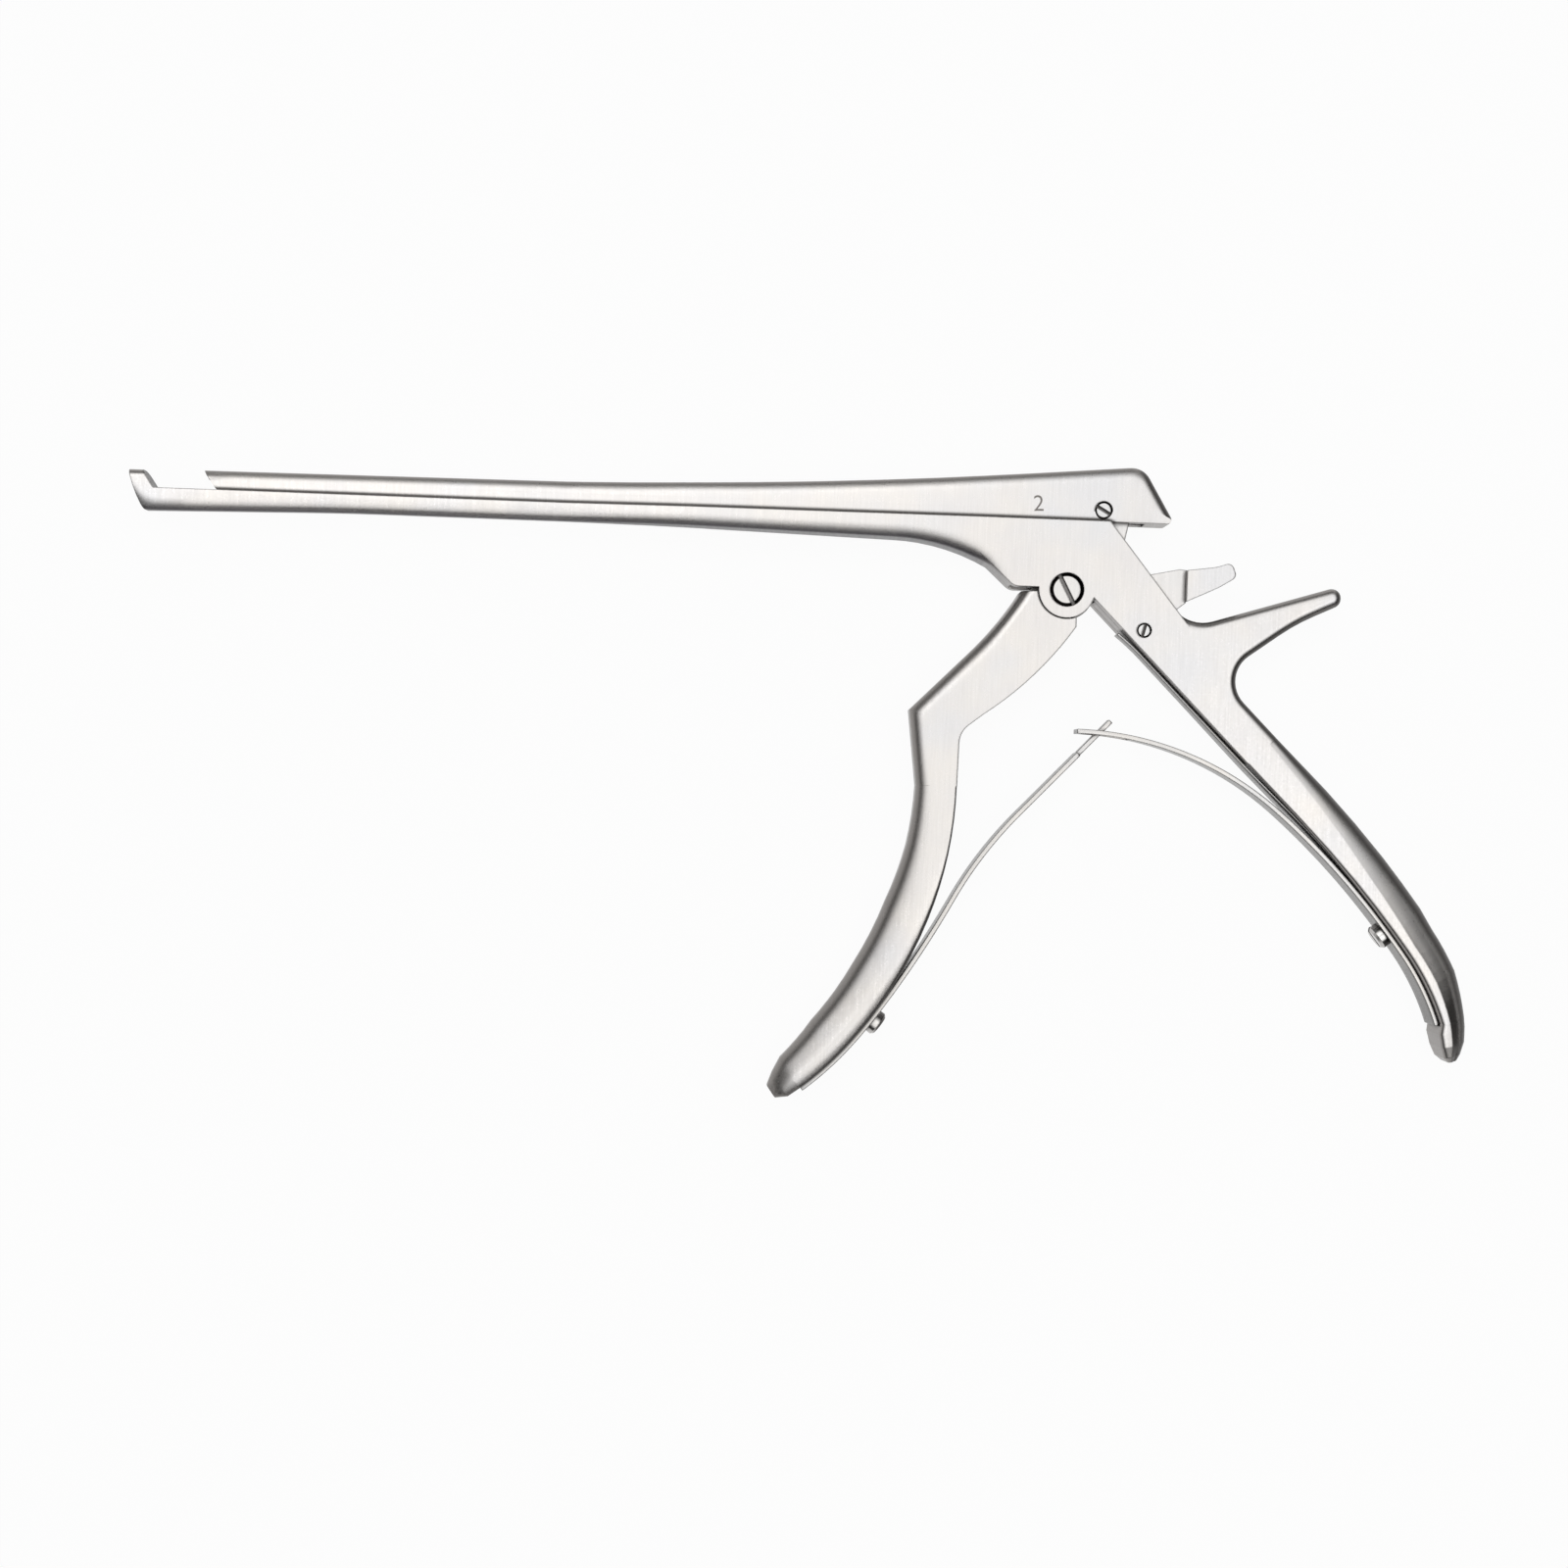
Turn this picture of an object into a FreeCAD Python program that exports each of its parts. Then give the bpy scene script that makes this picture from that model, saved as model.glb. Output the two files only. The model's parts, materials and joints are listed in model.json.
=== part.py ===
import FreeCAD, Part
import math
import os
from types import SimpleNamespace

import Sketcher
from FreeCAD import Placement, Rotation, Vector

# A take-apart bone rongeur (laminectomy punch) lying on its side. All lengths are in millimetres.
# The main pivot's axis is +Z through the origin, the resting plane is z = 0, the shafts run along X
# with the jaws towards -X, and +Y is the side that the jaws open to.

os.makedirs("parts", exist_ok=True)
doc = FreeCAD.newDocument("BoneRongeur")
sheet = doc.addObject("Spreadsheet::Sheet", "Sizes")

SIZES = {
    # Whole instrument
    "thickness": 9.0,
    "slide_gap": 0.05,
    # Lower shaft and footplate
    "rail_height": 13.4,
    "foot_reach": 176.5,
    "foot_height": 3.5,
    "foot_top_width": 2.6,
    "foot_heel": 178.3,
    "foot_front_radius": 25.0,
    "foot_top_round": 1.4,
    "bite_slant": 34.0,
    "bite_opening": 12.0,
    "shaft_depth_tip": 4.2,
    "shaft_waist_front": 140.0,
    "shaft_waist_rear": 76.0,
    "shaft_depth_waist": 3.3,
    "shaft_waist_round": 600.0,
    "shaft_root_x": 33.0,
    "shaft_depth_root": 4.2,
    "shaft_round": 1.0,
    "tip_width": 4.0,
    "slim_end_x": 97.0,
    "wide_start_x": 73.0,
    "shaft_width": 7.0,
    "full_width_x": 14.0,
    "width_blend": 60.0,
    # Body
    "belly_x": 14.5,
    "belly_height": 4.25,
    "shoulder_x": 10.2,
    "shoulder_height": 0.35,
    "shoulder_round": 2.5,
    "body_rear_x": 7.9,
    "spur_root_x": 23.8,
    "spur_root_y": -6.35,
    "spur_root_round": 7.0,
    # Spur
    "spur_tip_x": 52.8,
    "spur_tip_y": 2.8,
    "spur_tip_depth": 3.7,
    "spur_tip_round": 1.75,
    "spur_knee_x": 44.4,
    "spur_knee_y": -4.9,
    "spur_knee_round": 40.0,
    "web_round": 5.9,
    "spur_round": 1.6,
    # Rear handle, from its root down
    "grip_offset": 2.71,
    "grip_slope": 45.0,
    "grip_root": 48.2,
    "grip_straight": 14.1,
    "grip_bend": 236.0,
    "grip_bend_turn": 4.0,
    "rear_clamp_turn": 2.9,
    "grip_end_bend": 50.0,
    "grip_end_turn": 9.0,
    "grip_heel_turn": 2.0,
    "grip_tail_turn": 3.0,
    "grip_tail": 2.2,
    "grip_tip": 1.1,
    "seat_clear": 0.2,
    "seat_open": 1.2,
    "groove_depth": 0.5,
    "groove_width": 6.4,
    # Front handle
    "trigger_shoulder_x": 8.6,
    "trigger_shoulder_y": -0.5,
    "trigger_neck_x": -18.6,
    "trigger_neck_y": -13.2,
    "trigger_neck_radius": 66.0,
    "trigger_corner_x": -29.2,
    "trigger_corner_y": -24.0,
    "trigger_rear_x": 2.05,
    "trigger_rear_y": -7.1,
    "trigger_rear_radius": 66.0,
    "trigger_crook_x": -19.5,
    "trigger_crook_y": -28.0,
    "trigger_crook_round": 4.5,
    "trigger_grip_x": -19.65,
    "trigger_grip_y": -38.5,
    "trigger_band": 2.2,
    "trigger_bend": 75.0,
    "trigger_bend_turn": 10.0,
    "trigger_low_bend": 80.0,
    "trigger_low_turn": 11.0,
    "trigger_clamp_turn": 5.0,
    "trigger_end_turn": 10.0,
    "trigger_tail": 2.9,
    "trigger_tip": 2.2,
    "leaf_seat": 0.15,
    # Knuckle and drive
    "boss_radius": 5.4,
    "boss_gap": 0.2,
    "slot_width": 4.0,
    "tongue_width": 3.8,
    "slot_front_x": 10.6,
    "slot_over": 1.6,
    "slot_toe_x": 5.0,
    "slot_toe_y": -8.0,
    "slot_heel_x": 19.2,
    "slot_heel_y": -17.2,
    "slot_back_x": 25.2,
    "slot_back_y": -4.5,
    "slot_mouth_x": 30.0,
    "slot_mouth_y": 5.0,
    "slot_lip_x": 12.0,
    "drive_x": 6.47,
    "drive_y": 15.45,
    "drive_play": 0.25,
    "fork_height": 18.6,
    "fork_depth": 13.95,
    "fork_left": 4.5,
    "fork_right": 5.4,
    "stop_angle": 40.0,
    # Slider
    "slider_height_tip": 3.75,
    "slider_knee_x": 53.6,
    "slider_knee_height": 4.6,
    "slider_knee_round": 1150.0,
    "slider_crown_x": 14.0,
    "slider_crown_height": 10.8,
    "slider_crown_round": 4.0,
    "slider_rear_x": 20.4,
    "slider_rear_round": 0.8,
    "slider_round": 1.7,
    "rail_neck": 1.7,
    "rail_foot": 2.5,
    "rail_depth": 1.6,
    "rail_gap": 0.06,
    "groove_stop": 5.5,
    "rail_front": 157.0,
    "rail_rear": 24.0,
    "drive_slot_front": 6.9,
    "drive_slot_rear": 8.5,
    "drive_slot_top": 6.3,
    "cup_width": 2.0,
    "cup_depth": 2.4,
    "cup_floor": 1.0,
    # Latch
    "latch_x": 15.06,
    "latch_y": -7.26,
    "latch_width": 3.7,
    "latch_tab_width": 7.0,
    "latch_tab_x": 23.3,
    "latch_tail_round": 0.6,
    "latch_hollow_x": 19.6,
    "latch_hollow_y": -6.0,
    "latch_hollow_round": 2.0,
    "latch_neck_x": 21.84,
    "latch_neck_y": -2.67,
    "latch_crest_x": 22.0,
    "latch_crest_y": 5.0,
    "latch_crest_round": 0.5,
    "latch_brow_x": 15.5,
    "latch_brow_y": 3.6,
    "latch_brow_round": 3.0,
    "latch_nose_gap": 0.2,
    "tab_root_low": -1.5,
    "tab_root_high": 4.85,
    "tab_step": 0.15,
    "tab_low_x": 29.4,
    "tab_low_y": 1.6,
    "tab_high_x": 28.8,
    "tab_high_y": 5.5,
    "tab_waist_round": 8.0,
    "tab_tip_x": 32.7,
    "tab_tip_y": 3.7,
    "tab_slant": 1.1,
    "tab_top_y": 6.5,
    "tab_tip_round": 1.2,
    # Screws
    "bore_gap": 0.05,
    "pivot_head": 3.2,
    "pivot_head_depth": 1.7,
    "pivot_shank": 2.1,
    "pivot_slot": 0.75,
    "drive_head": 1.65,
    "drive_head_depth": 1.3,
    "drive_shank": 1.3,
    "drive_slot": 0.6,
    "latch_head": 1.35,
    "latch_head_depth": 1.2,
    "latch_shank": 0.9,
    "latch_slot": 0.5,
    "screw_slot_depth": 0.8,
    "leaf_screw_head": 2.4,
    "leaf_screw_height": 1.7,
    "leaf_screw_shank": 1.2,
    "leaf_screw_reach": 4.5,
    # Leaf springs
    "leaf_thickness": 0.9,
    "leaf_width": 6.0,
    "leaf_tip_width": 5.0,
    "leaf_gap": 0.03,
    "latch_leaf_thickness": 0.5,
    "latch_leaf_width": 5.6,
    "latch_leaf_free": 28.3,
    "latch_leaf_curl_radius": 45.0,
    "latch_leaf_curl": 8.0,
    "rear_slot_width": 3.4,
    "rear_slot_end": 1.3,
    "rear_slot_length": 9.0,
    "front_tongue_width": 2.6,
    "web_reach": 16.0,
    "trigger_end_bend": 60.0,
    "trigger_inner_x": -15.0,
    "trigger_inner_y": -24.45,
    "head_sink": 0.1,
    "screw_clear": 0.2,
    "bore_floor": 0.6,
    "release_turn": 12.0,
    "step_radius": 9.1,
    "arm_neck_radius": 12.9,
    "arm_corner_radius": 14.3,
    "arm_foot": 6.3,
    "latch_nose_radius": 6.1,
    "latch_tail": 21.9,
    "latch_tail_width": 3.6,
    "latch_stop_turn": 1.2,
    "rear_leaf_bend": 150.0,
    "rear_leaf_bend_turn": 12.0,
    "rear_leaf_tip_bend": 61.1,
    "rear_leaf_tip_turn": 40.0,
    "latch_leaf_ease": 168.0,
    "latch_leaf_ease_turn": 5.6,
    "latch_leaf_lift": 12.0,
    "latch_leaf_bend": 100.0,
    "latch_leaf_tip_width": 3.6,
    "front_leaf_bend": 200.0,
    "front_leaf_bend_turn": 8.0,
    "front_leaf_tip_bend": 80.0,
    "front_leaf_tip_turn": 15.0,
    "front_leaf_straight": 25.4,
    "front_tongue_length": 9.0,
    "front_tongue_neck": 1.5,
    "leaf_flare": 5.8,
    "pivot_slot_turn": -62.0,
    "drive_slot_turn": -30.0,
    "latch_slot_turn": 75.0,
}


class Size:
    """A number together with the formula over the sheet that gives it."""

    def __init__(self, value, formula=None):
        self.value = float(value)
        self.formula = formula or f"({self.value!r})"

    def __add__(self, other):
        other = as_size(other)
        return Size(self.value + other.value, f"({self.formula} + {other.formula})")

    def __sub__(self, other):
        other = as_size(other)
        return Size(self.value - other.value, f"({self.formula} - {other.formula})")

    def __mul__(self, other):
        other = as_size(other)
        return Size(self.value * other.value, f"({self.formula} * {other.formula})")

    def __truediv__(self, other):
        other = as_size(other)
        return Size(self.value / other.value, f"({self.formula} / {other.formula})")

    def __neg__(self):
        return Size(-self.value, f"(-{self.formula})")

    def __rsub__(self, other):
        return as_size(other) - self

    def __rtruediv__(self, other):
        return as_size(other) / self

    __radd__ = __add__
    __rmul__ = __mul__


def as_size(x):
    return x if isinstance(x, Size) else Size(x)


def sin(angle):
    angle = as_size(angle)
    return Size(math.sin(math.radians(angle.value)), f"sin({angle.formula})")


def cos(angle):
    angle = as_size(angle)
    return Size(math.cos(math.radians(angle.value)), f"cos({angle.formula})")


def tan(angle):
    return sin(angle) / cos(angle)


def root(x):
    return Size(math.sqrt(x.value), f"sqrt({x.formula})")


# Each driving dimension by its name
dim = SimpleNamespace()
for row, (alias, number) in enumerate(SIZES.items(), start=1):
    sheet.set(f"A{row}", alias)
    sheet.set(f"B{row}", str(number))
    sheet.setAlias(f"B{row}", alias)
    setattr(dim, alias, Size(number, f"Sizes.{alias}"))
doc.recompute()

middle = dim.thickness / 2


class Knot:
    """A point of a route, with the direction of travel there in degrees."""

    def __init__(self, x, y, heading):
        self.x = as_size(x)
        self.y = as_size(y)
        self.heading = as_size(heading)

    def beside(self, offset):
        """The point that lies offset to the left of the direction of travel."""
        x = self.x - offset * sin(self.heading)
        y = self.y + offset * cos(self.heading)
        return Knot(x, y, self.heading)

    def ahead(self, length):
        x = self.x + length * cos(self.heading)
        y = self.y + length * sin(self.heading)
        return Knot(x, y, self.heading)

    def bend(self, radius, turn, left):
        """The far end of an arc that leaves along the heading and turns by turn degrees."""
        side = 1 if left else -1
        after = self.heading + side * turn
        x = self.x + side * radius * (sin(after) - sin(self.heading))
        y = self.y - side * radius * (cos(after) - cos(self.heading))
        return Knot(x, y, after)

    def back(self):
        return Knot(self.x, self.y, self.heading + 180)


class Route:
    """A smooth run of straights and arcs that starts at a knot."""

    def __init__(self, start):
        self.knots = [start]
        self.legs = []

    def straight(self, length):
        self.knots.append(self.knots[-1].ahead(length))
        self.legs.append(None)
        return self

    def bend(self, radius, turn, left=False):
        self.knots.append(self.knots[-1].bend(radius, turn, left))
        self.legs.append((radius, left))
        return self

    def side(self, offset):
        """The corners of the line that lies offset to the left of the route."""
        corners = []
        for knot, leg in zip(self.knots, self.legs + [None]):
            place = knot.beside(offset)
            if leg is None:
                corners.append(Corner(place.x, place.y))
                continue
            radius, left = leg
            radius = radius - offset if left else radius + offset
            corners.append(Corner(place.x, place.y, radius, left))
        return corners

    def strip(self, left, right):
        """The closed outline between the lines at left and at right of the route."""
        return self.side(left) + backwards(self.side(right))


def stretch(route, first, last):
    """The part of a route from its knot first to its knot last."""
    part = Route(route.knots[first])
    part.knots = route.knots[first:last + 1]
    part.legs = route.legs[first:last]
    return part


class Corner:
    """A corner of an outline. radius and left describe the arc that leaves it, if one does."""

    def __init__(self, x, y, radius=None, left=True, rounding=None):
        self.x = as_size(x)
        self.y = as_size(y)
        self.radius = None if radius is None else as_size(radius)
        self.left = left
        self.rounding = None if rounding is None else as_size(rounding)

    def point(self):
        return Vector(self.x.value, self.y.value, 0)


def smooth_radius(before, start, end):
    """The radius of the arc from start to end that goes on smoothly from the line before it, and turns right."""
    along_x, along_y = start.x - before.x, start.y - before.y
    chord_x, chord_y = end.x - start.x, end.y - start.y
    away = along_y * chord_x - along_x * chord_y
    length = root(along_x * along_x + along_y * along_y)
    return (chord_x * chord_x + chord_y * chord_y) * length / (away * 2)


def backwards(corners):
    """The same corners walked from the last to the first."""
    turned = []
    for n in range(len(corners) - 1, -1, -1):
        corner = corners[n]
        before = corners[n - 1] if n else None
        if before is not None and before.radius is not None:
            turned.append(Corner(corner.x, corner.y, before.radius, not before.left, corner.rounding))
        else:
            turned.append(Corner(corner.x, corner.y, rounding=corner.rounding))
    return turned


def new_body(label):
    body = doc.addObject("PartDesign::Body", label)
    body.Label = label
    return body


def new_sketch(body, name, plane="XY", x=0, y=0, z=0, turn=0):
    """A sketch on a plane through x, y, z. An XZ plane's normal points along -Y before its turn about Z."""
    sketch = body.newObject("Sketcher::SketchObject", name)
    origin = next(f for f in body.Origin.OriginFeatures if f.Role == f"{plane}_Plane")
    sketch.AttachmentSupport = (origin, [""])
    sketch.MapMode = "FlatFace"
    x, y, z, turn = as_size(x), as_size(y), as_size(z), as_size(turn)
    base = {"XY": (x, y, z), "XZ": (x, z, -y), "YZ": (y, z, x)}[plane]
    axis = Vector(0, 0, 1) if plane == "XY" else Vector(0, 1, 0)
    sketch.AttachmentOffset = Placement(Vector(*(b.value for b in base)), Rotation(axis, turn.value))
    for letter, part in zip("xyz", base):
        sketch.setExpression(f"AttachmentOffset.Base.{letter}", part.formula)
    if turn.value:
        sketch.setExpression("AttachmentOffset.Rotation.Angle", turn.formula)
    return sketch


def constrain(sketch, rules):
    """Adds the rules, each a constraint's arguments and the formula that drives it, if any."""
    first = len(sketch.Constraints)
    sketch.addConstraint([Sketcher.Constraint(*arguments) for arguments, formula in rules])
    for n, (arguments, formula) in enumerate(rules):
        if formula:
            sketch.setExpression(f"Constraints[{first + n}]", formula)


def pin(geometry, end, x, y):
    """The two rules that hold a point at x, y from the sketch's own origin."""
    return [
        (("DistanceX", -1, 1, geometry, end, x.value), x.formula),
        (("DistanceY", -1, 1, geometry, end, y.value), y.formula),
    ]


def arc_between(p, q, radius, left):
    """The arc from p to q, with which of its own ends lies at p and at q."""
    chord = q - p
    half = chord.Length / 2
    height = math.sqrt(max(radius**2 - half**2, 0))
    normal = Vector(-chord.y, chord.x, 0).normalize() * (height if left else -height)
    centre = (p + q) / 2 + normal
    start, end = (p, q) if left else (q, p)
    from_angle = math.atan2(start.y - centre.y, start.x - centre.x)
    to_angle = math.atan2(end.y - centre.y, end.x - centre.x)
    if to_angle < from_angle:
        to_angle += 2 * math.pi
    circle = Part.Circle(centre, Vector(0, 0, 1), radius)
    return Part.ArcOfCircle(circle, from_angle, to_angle), (1, 2) if left else (2, 1)


def rounded(before, corner, after, radius):
    """The two tangent points of a rounding, and whether it turns left."""
    back = (before - corner).normalize()
    on = (after - corner).normalize()
    reach = radius / math.tan(back.getAngle(on) / 2)
    return corner + back * reach, corner + on * reach, back.cross(on).z < 0


def draw(sketch, corners):
    """Draws a closed outline, every corner and radius tied to the sheet."""
    count = len(corners)
    places = [c.point() for c in corners]
    leave = []
    arrive = []
    roundings = []
    for n, corner in enumerate(corners):
        if corner.rounding is None:
            arrive.append(places[n])
            leave.append(places[n])
            roundings.append(None)
            continue
        radius = corner.rounding.value
        p, q, left = rounded(places[n - 1], places[n], places[(n + 1) % count], radius)
        arrive.append(p)
        leave.append(q)
        roundings.append(arc_between(p, q, radius, left))
    edges = []
    ends = []
    for n, corner in enumerate(corners):
        p, q = leave[n], arrive[(n + 1) % count]
        if corner.radius is None:
            edges.append(Part.LineSegment(p, q))
            ends.append((1, 2))
        else:
            arc, order = arc_between(p, q, corner.radius.value, corner.left)
            edges.append(arc)
            ends.append(order)
    first = sketch.GeometryCount
    sketch.addGeometry(edges, False)
    rules = []
    for n, corner in enumerate(corners):
        here, last = first + n, first + (n - 1) % count
        here_start, last_end = ends[n][0], ends[(n - 1) % count][1]
        if corner.radius is not None:
            rules.append((("Radius", here, corner.radius.value), corner.radius.formula))
        if roundings[n] is None:
            rules.append((("Coincident", last, last_end, here, here_start), None))
            rules += pin(here, here_start, corner.x, corner.y)
            continue
        arc, (arc_start, arc_end) = roundings[n]
        fillet = sketch.addGeometry(arc, False)
        mark = sketch.addGeometry(Part.Point(places[n]), True)
        rules += pin(mark, 1, corner.x, corner.y)
        rules.append((("PointOnObject", mark, 1, last), None))
        rules.append((("PointOnObject", mark, 1, here), None))
        rules.append((("Tangent", last, last_end, fillet, arc_start), None))
        rules.append((("Tangent", here, here_start, fillet, arc_end), None))
        rules.append((("Radius", fillet, corner.rounding.value), corner.rounding.formula))
    constrain(sketch, rules)
    return sketch


def draw_circle(sketch, x, y, radius):
    x, y, radius = as_size(x), as_size(y), as_size(radius)
    centre = Vector(x.value, y.value, 0)
    ring = sketch.addGeometry(Part.Circle(centre, Vector(0, 0, 1), radius.value), False)
    constrain(sketch, pin(ring, 3, x, y) + [(("Radius", ring, radius.value), radius.formula)])
    return sketch


def box(left, right, low, high):
    """The four corners of an upright rectangle."""
    return [Corner(left, low), Corner(right, low), Corner(right, high), Corner(left, high)]


def finish_feature(body, feature, name):
    """Recomputes, and stops if the feature failed or did nothing."""
    doc.recompute()
    if "Invalid" in feature.State or "Error" in feature.State or not feature.Shape.isValid():
        raise RuntimeError(f"{body.Label}: {name} failed: {feature.State} {feature.getStatusString()}")
    return feature


def pad(body, sketch, length, symmetric=True, name="Pad"):
    feature = body.newObject("PartDesign::Pad", name)
    feature.Profile = sketch
    feature.setExpression("Length", as_size(length).formula)
    feature.SideType = "Symmetric" if symmetric else "One side"
    feature.Refine = True
    return finish_feature(body, feature, name)


def pocket(body, sketch, length=None, symmetric=True, name="Pocket"):
    """Cuts the sketch out, right through when no length is given."""
    before = body.Shape.Volume
    feature = body.newObject("PartDesign::Pocket", name)
    feature.Profile = sketch
    if length is None:
        feature.Type = "ThroughAll"
    else:
        feature.setExpression("Length", as_size(length).formula)
    feature.SideType = "Symmetric" if symmetric else "One side"
    finish_feature(body, feature, name)
    if feature.Shape.Volume > before - 1e-4:
        raise RuntimeError(f"{body.Label}: {name} cut nothing")
    return feature


def revolve(body, sketch, axis, name="Revolution"):
    feature = body.newObject("PartDesign::Revolution", name)
    feature.Profile = sketch
    feature.ReferenceAxis = (sketch, [axis])
    feature.Angle = 360
    return finish_feature(body, feature, name)


def normal_beside(face, point):
    u, v = face.Surface.parameter(point)
    return face.normalAt(u, v)


def rims(shape, wanted):
    """The edges between a flat side and a wall where wanted(x, y, nx, ny) holds for the wall there."""
    names = []
    for n, edge in enumerate(shape.Edges, start=1):
        faces = shape.ancestorsOfType(edge, Part.Face)
        if len(faces) != 2:
            continue
        point = edge.valueAt((edge.FirstParameter + edge.LastParameter) / 2)
        normals = [normal_beside(face, point) for face in faces]
        normals.sort(key=lambda v: abs(v.z))
        wall, side = normals
        if abs(wall.z) < 0.3 and abs(side.z) > 0.7 and wanted(point.x, point.y, wall.x, wall.y):
            names.append(f"Edge{n}")
    return names


def fillet(body, base, names, radius, name="Fillet"):
    if not names:
        raise RuntimeError(f"{body.Label}: {name} found no edges")
    feature = body.newObject("PartDesign::Fillet", name)
    feature.Base = (base, names)
    feature.setExpression("Radius", as_size(radius).formula)
    return finish_feature(body, feature, name)


class Section:
    """A handle's cross-section: its width, the back's rounding and radius, the flank and the inner rounding.
    swell is how far its inner side stands beyond the route."""

    def __init__(self, width, band, bow, flank, drop, inner, thinning=0.0, swell=0.0):
        self.thinning = thinning
        self.swell = swell
        self.width = width
        self.band = band
        self.bow = bow
        self.flank = flank
        self.drop = drop
        self.inner = inner


def handle_section(body, name, knot, section, outward):
    """Draws a section across the handle at a knot. outward is 1 where the back lies left of the route."""
    s = section
    sketch = new_sketch(body, name, "XZ", knot.x, knot.y, middle, knot.heading + 90)
    half = middle - s.thinning
    land = half - s.drop - s.band
    left = outward < 0
    top = [
        Corner(-outward * s.swell, half - s.inner, as_size(s.inner), left),
        Corner(outward * (s.inner - s.swell), half),
        Corner(outward * (s.width - s.band - s.flank), half),
        Corner(outward * (s.width - s.band), half - s.drop, as_size(s.band * s.bow), left),
        Corner(outward * s.width, land),
    ]
    bottom = [Corner(c.x, -c.y, c.radius, not c.left, c.rounding) for c in top]
    draw(sketch, top + backwards(bottom))
    return sketch


def bore(body, name, x, y, radius, depth=None):
    """A round hole along Z: right through, or down from the upper side by depth."""
    sketch = new_sketch(body, name, "XY", x, y, middle if depth is None else dim.thickness)
    draw_circle(sketch, 0, 0, radius)
    pocket(body, sketch, depth, symmetric=depth is None, name=name + "Cut")


def screw_hole(body, name, x, y, shank, head, head_depth):
    """A blind stepped hole for an upright screw whose head lies just under the surface."""
    bore(body, name + "Bore", x, y, shank + dim.bore_gap, dim.thickness - dim.bore_floor)
    bore(body, name + "HeadBore", x, y, head + dim.bore_gap, head_depth + dim.head_sink)


def cross_bore(body, name, place, radius, depth):
    """A round hole across a handle, along the direction opposite to the place's heading."""
    sketch = new_sketch(body, name, "XZ", place.x, place.y, middle, place.heading + 90)
    draw_circle(sketch, 0, 0, radius)
    pocket(body, sketch, depth, name=name + "Cut")


def screw(label, place, head, shank, slot_width, upright=True, slot_turn=0):
    """A slotted screw. place is its head's top as (x, y, z, heading); head and shank are (radius, length)."""
    x, y, z, heading = place
    body = new_body(label)
    if upright:
        profile = new_sketch(body, "Profile", "XZ", x, y, z)
    else:
        profile = new_sketch(body, "Profile", "XY", x, y, z, heading - 90)
    (head_radius, head_height), (shank_radius, shank_length) = head, shank
    edge = head_radius / 5
    point = shank_radius / 4
    bottom = head_height + shank_length
    draw(
        profile,
        [
            Corner(0, 0),
            Corner(0, -bottom),
            Corner(shank_radius - point, -bottom),
            Corner(shank_radius, -bottom + point),
            Corner(shank_radius, -head_height),
            Corner(head_radius, -head_height),
            Corner(head_radius, -edge),
            Corner(head_radius - edge, 0),
        ],
    )
    revolve(body, profile, "V_Axis")
    if upright:
        driver = new_sketch(body, "DriverSlot", "XY", x, y, z, slot_turn)
    else:
        driver = new_sketch(body, "DriverSlot", "XZ", x, y, z, heading + 90)
    reach = head_radius * 1.3
    draw(driver, box(-reach, reach, -slot_width / 2, slot_width / 2))
    pocket(body, driver, dim.screw_slot_depth, symmetric=False, name="SlotCut")
    return body


def leaf(label, outline, width):
    body = new_body(label)
    sketch = new_sketch(body, "LeafOutline", "XY", 0, 0, middle)
    draw(sketch, outline)
    pad(body, sketch, width)
    return body


def trim(body, name, loops):
    """Cuts closed loops, given in x and z from mid-thickness, right through along Y."""
    sketch = new_sketch(body, name, "XZ", 0, 0, middle)
    for loop in loops:
        draw(sketch, loop)
    pocket(body, sketch, name=name + "Cut")


def both_sides(loop):
    """The loop and its mirror image about mid-thickness."""
    return [loop, backwards([Corner(c.x, -c.y, rounding=c.rounding) for c in loop])]


# The inner line of the rear handle: its root, its bends, the clamp of its spring and its end
line_foot = Knot(
    dim.grip_offset * sin(dim.grip_slope), dim.grip_offset * cos(dim.grip_slope), -dim.grip_slope
)
grip = (
    Route(line_foot.ahead(dim.grip_root))
    .straight(dim.grip_straight)
    .bend(dim.grip_bend, dim.grip_bend_turn)
    .bend(dim.grip_bend, dim.rear_clamp_turn)
    .bend(dim.grip_bend, dim.grip_bend_turn - dim.rear_clamp_turn)
    .bend(dim.grip_end_bend, dim.grip_end_turn)
    .bend(dim.grip_end_bend, dim.grip_end_turn)
    .bend(dim.grip_end_bend, dim.grip_heel_turn)
    .bend(dim.grip_end_bend, dim.grip_tail_turn)
    .straight(dim.grip_tail)
    .straight(dim.grip_tip)
)
grip_root, rear_clamp = grip.knots[0], grip.knots[3]

# The inner line of the front handle, from below its crook to its end
trigger_line = (
    Route(Knot(dim.trigger_grip_x, dim.trigger_grip_y, -90))
    .bend(dim.trigger_bend, dim.trigger_bend_turn)
    .bend(dim.trigger_bend, dim.trigger_bend_turn)
    .bend(dim.trigger_low_bend, dim.trigger_low_turn)
    .bend(dim.trigger_low_bend, dim.trigger_clamp_turn)
    .bend(dim.trigger_low_bend, dim.trigger_low_turn - dim.trigger_clamp_turn)
    .bend(dim.trigger_end_bend, dim.trigger_end_turn)
    .straight(dim.trigger_tail)
    .straight(dim.trigger_tip)
)
trigger_root, front_clamp = trigger_line.knots[0], trigger_line.knots[4]

# The most that a handle turns between two of its sections, in degrees
HANDLE_STEP = 2.8

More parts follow.
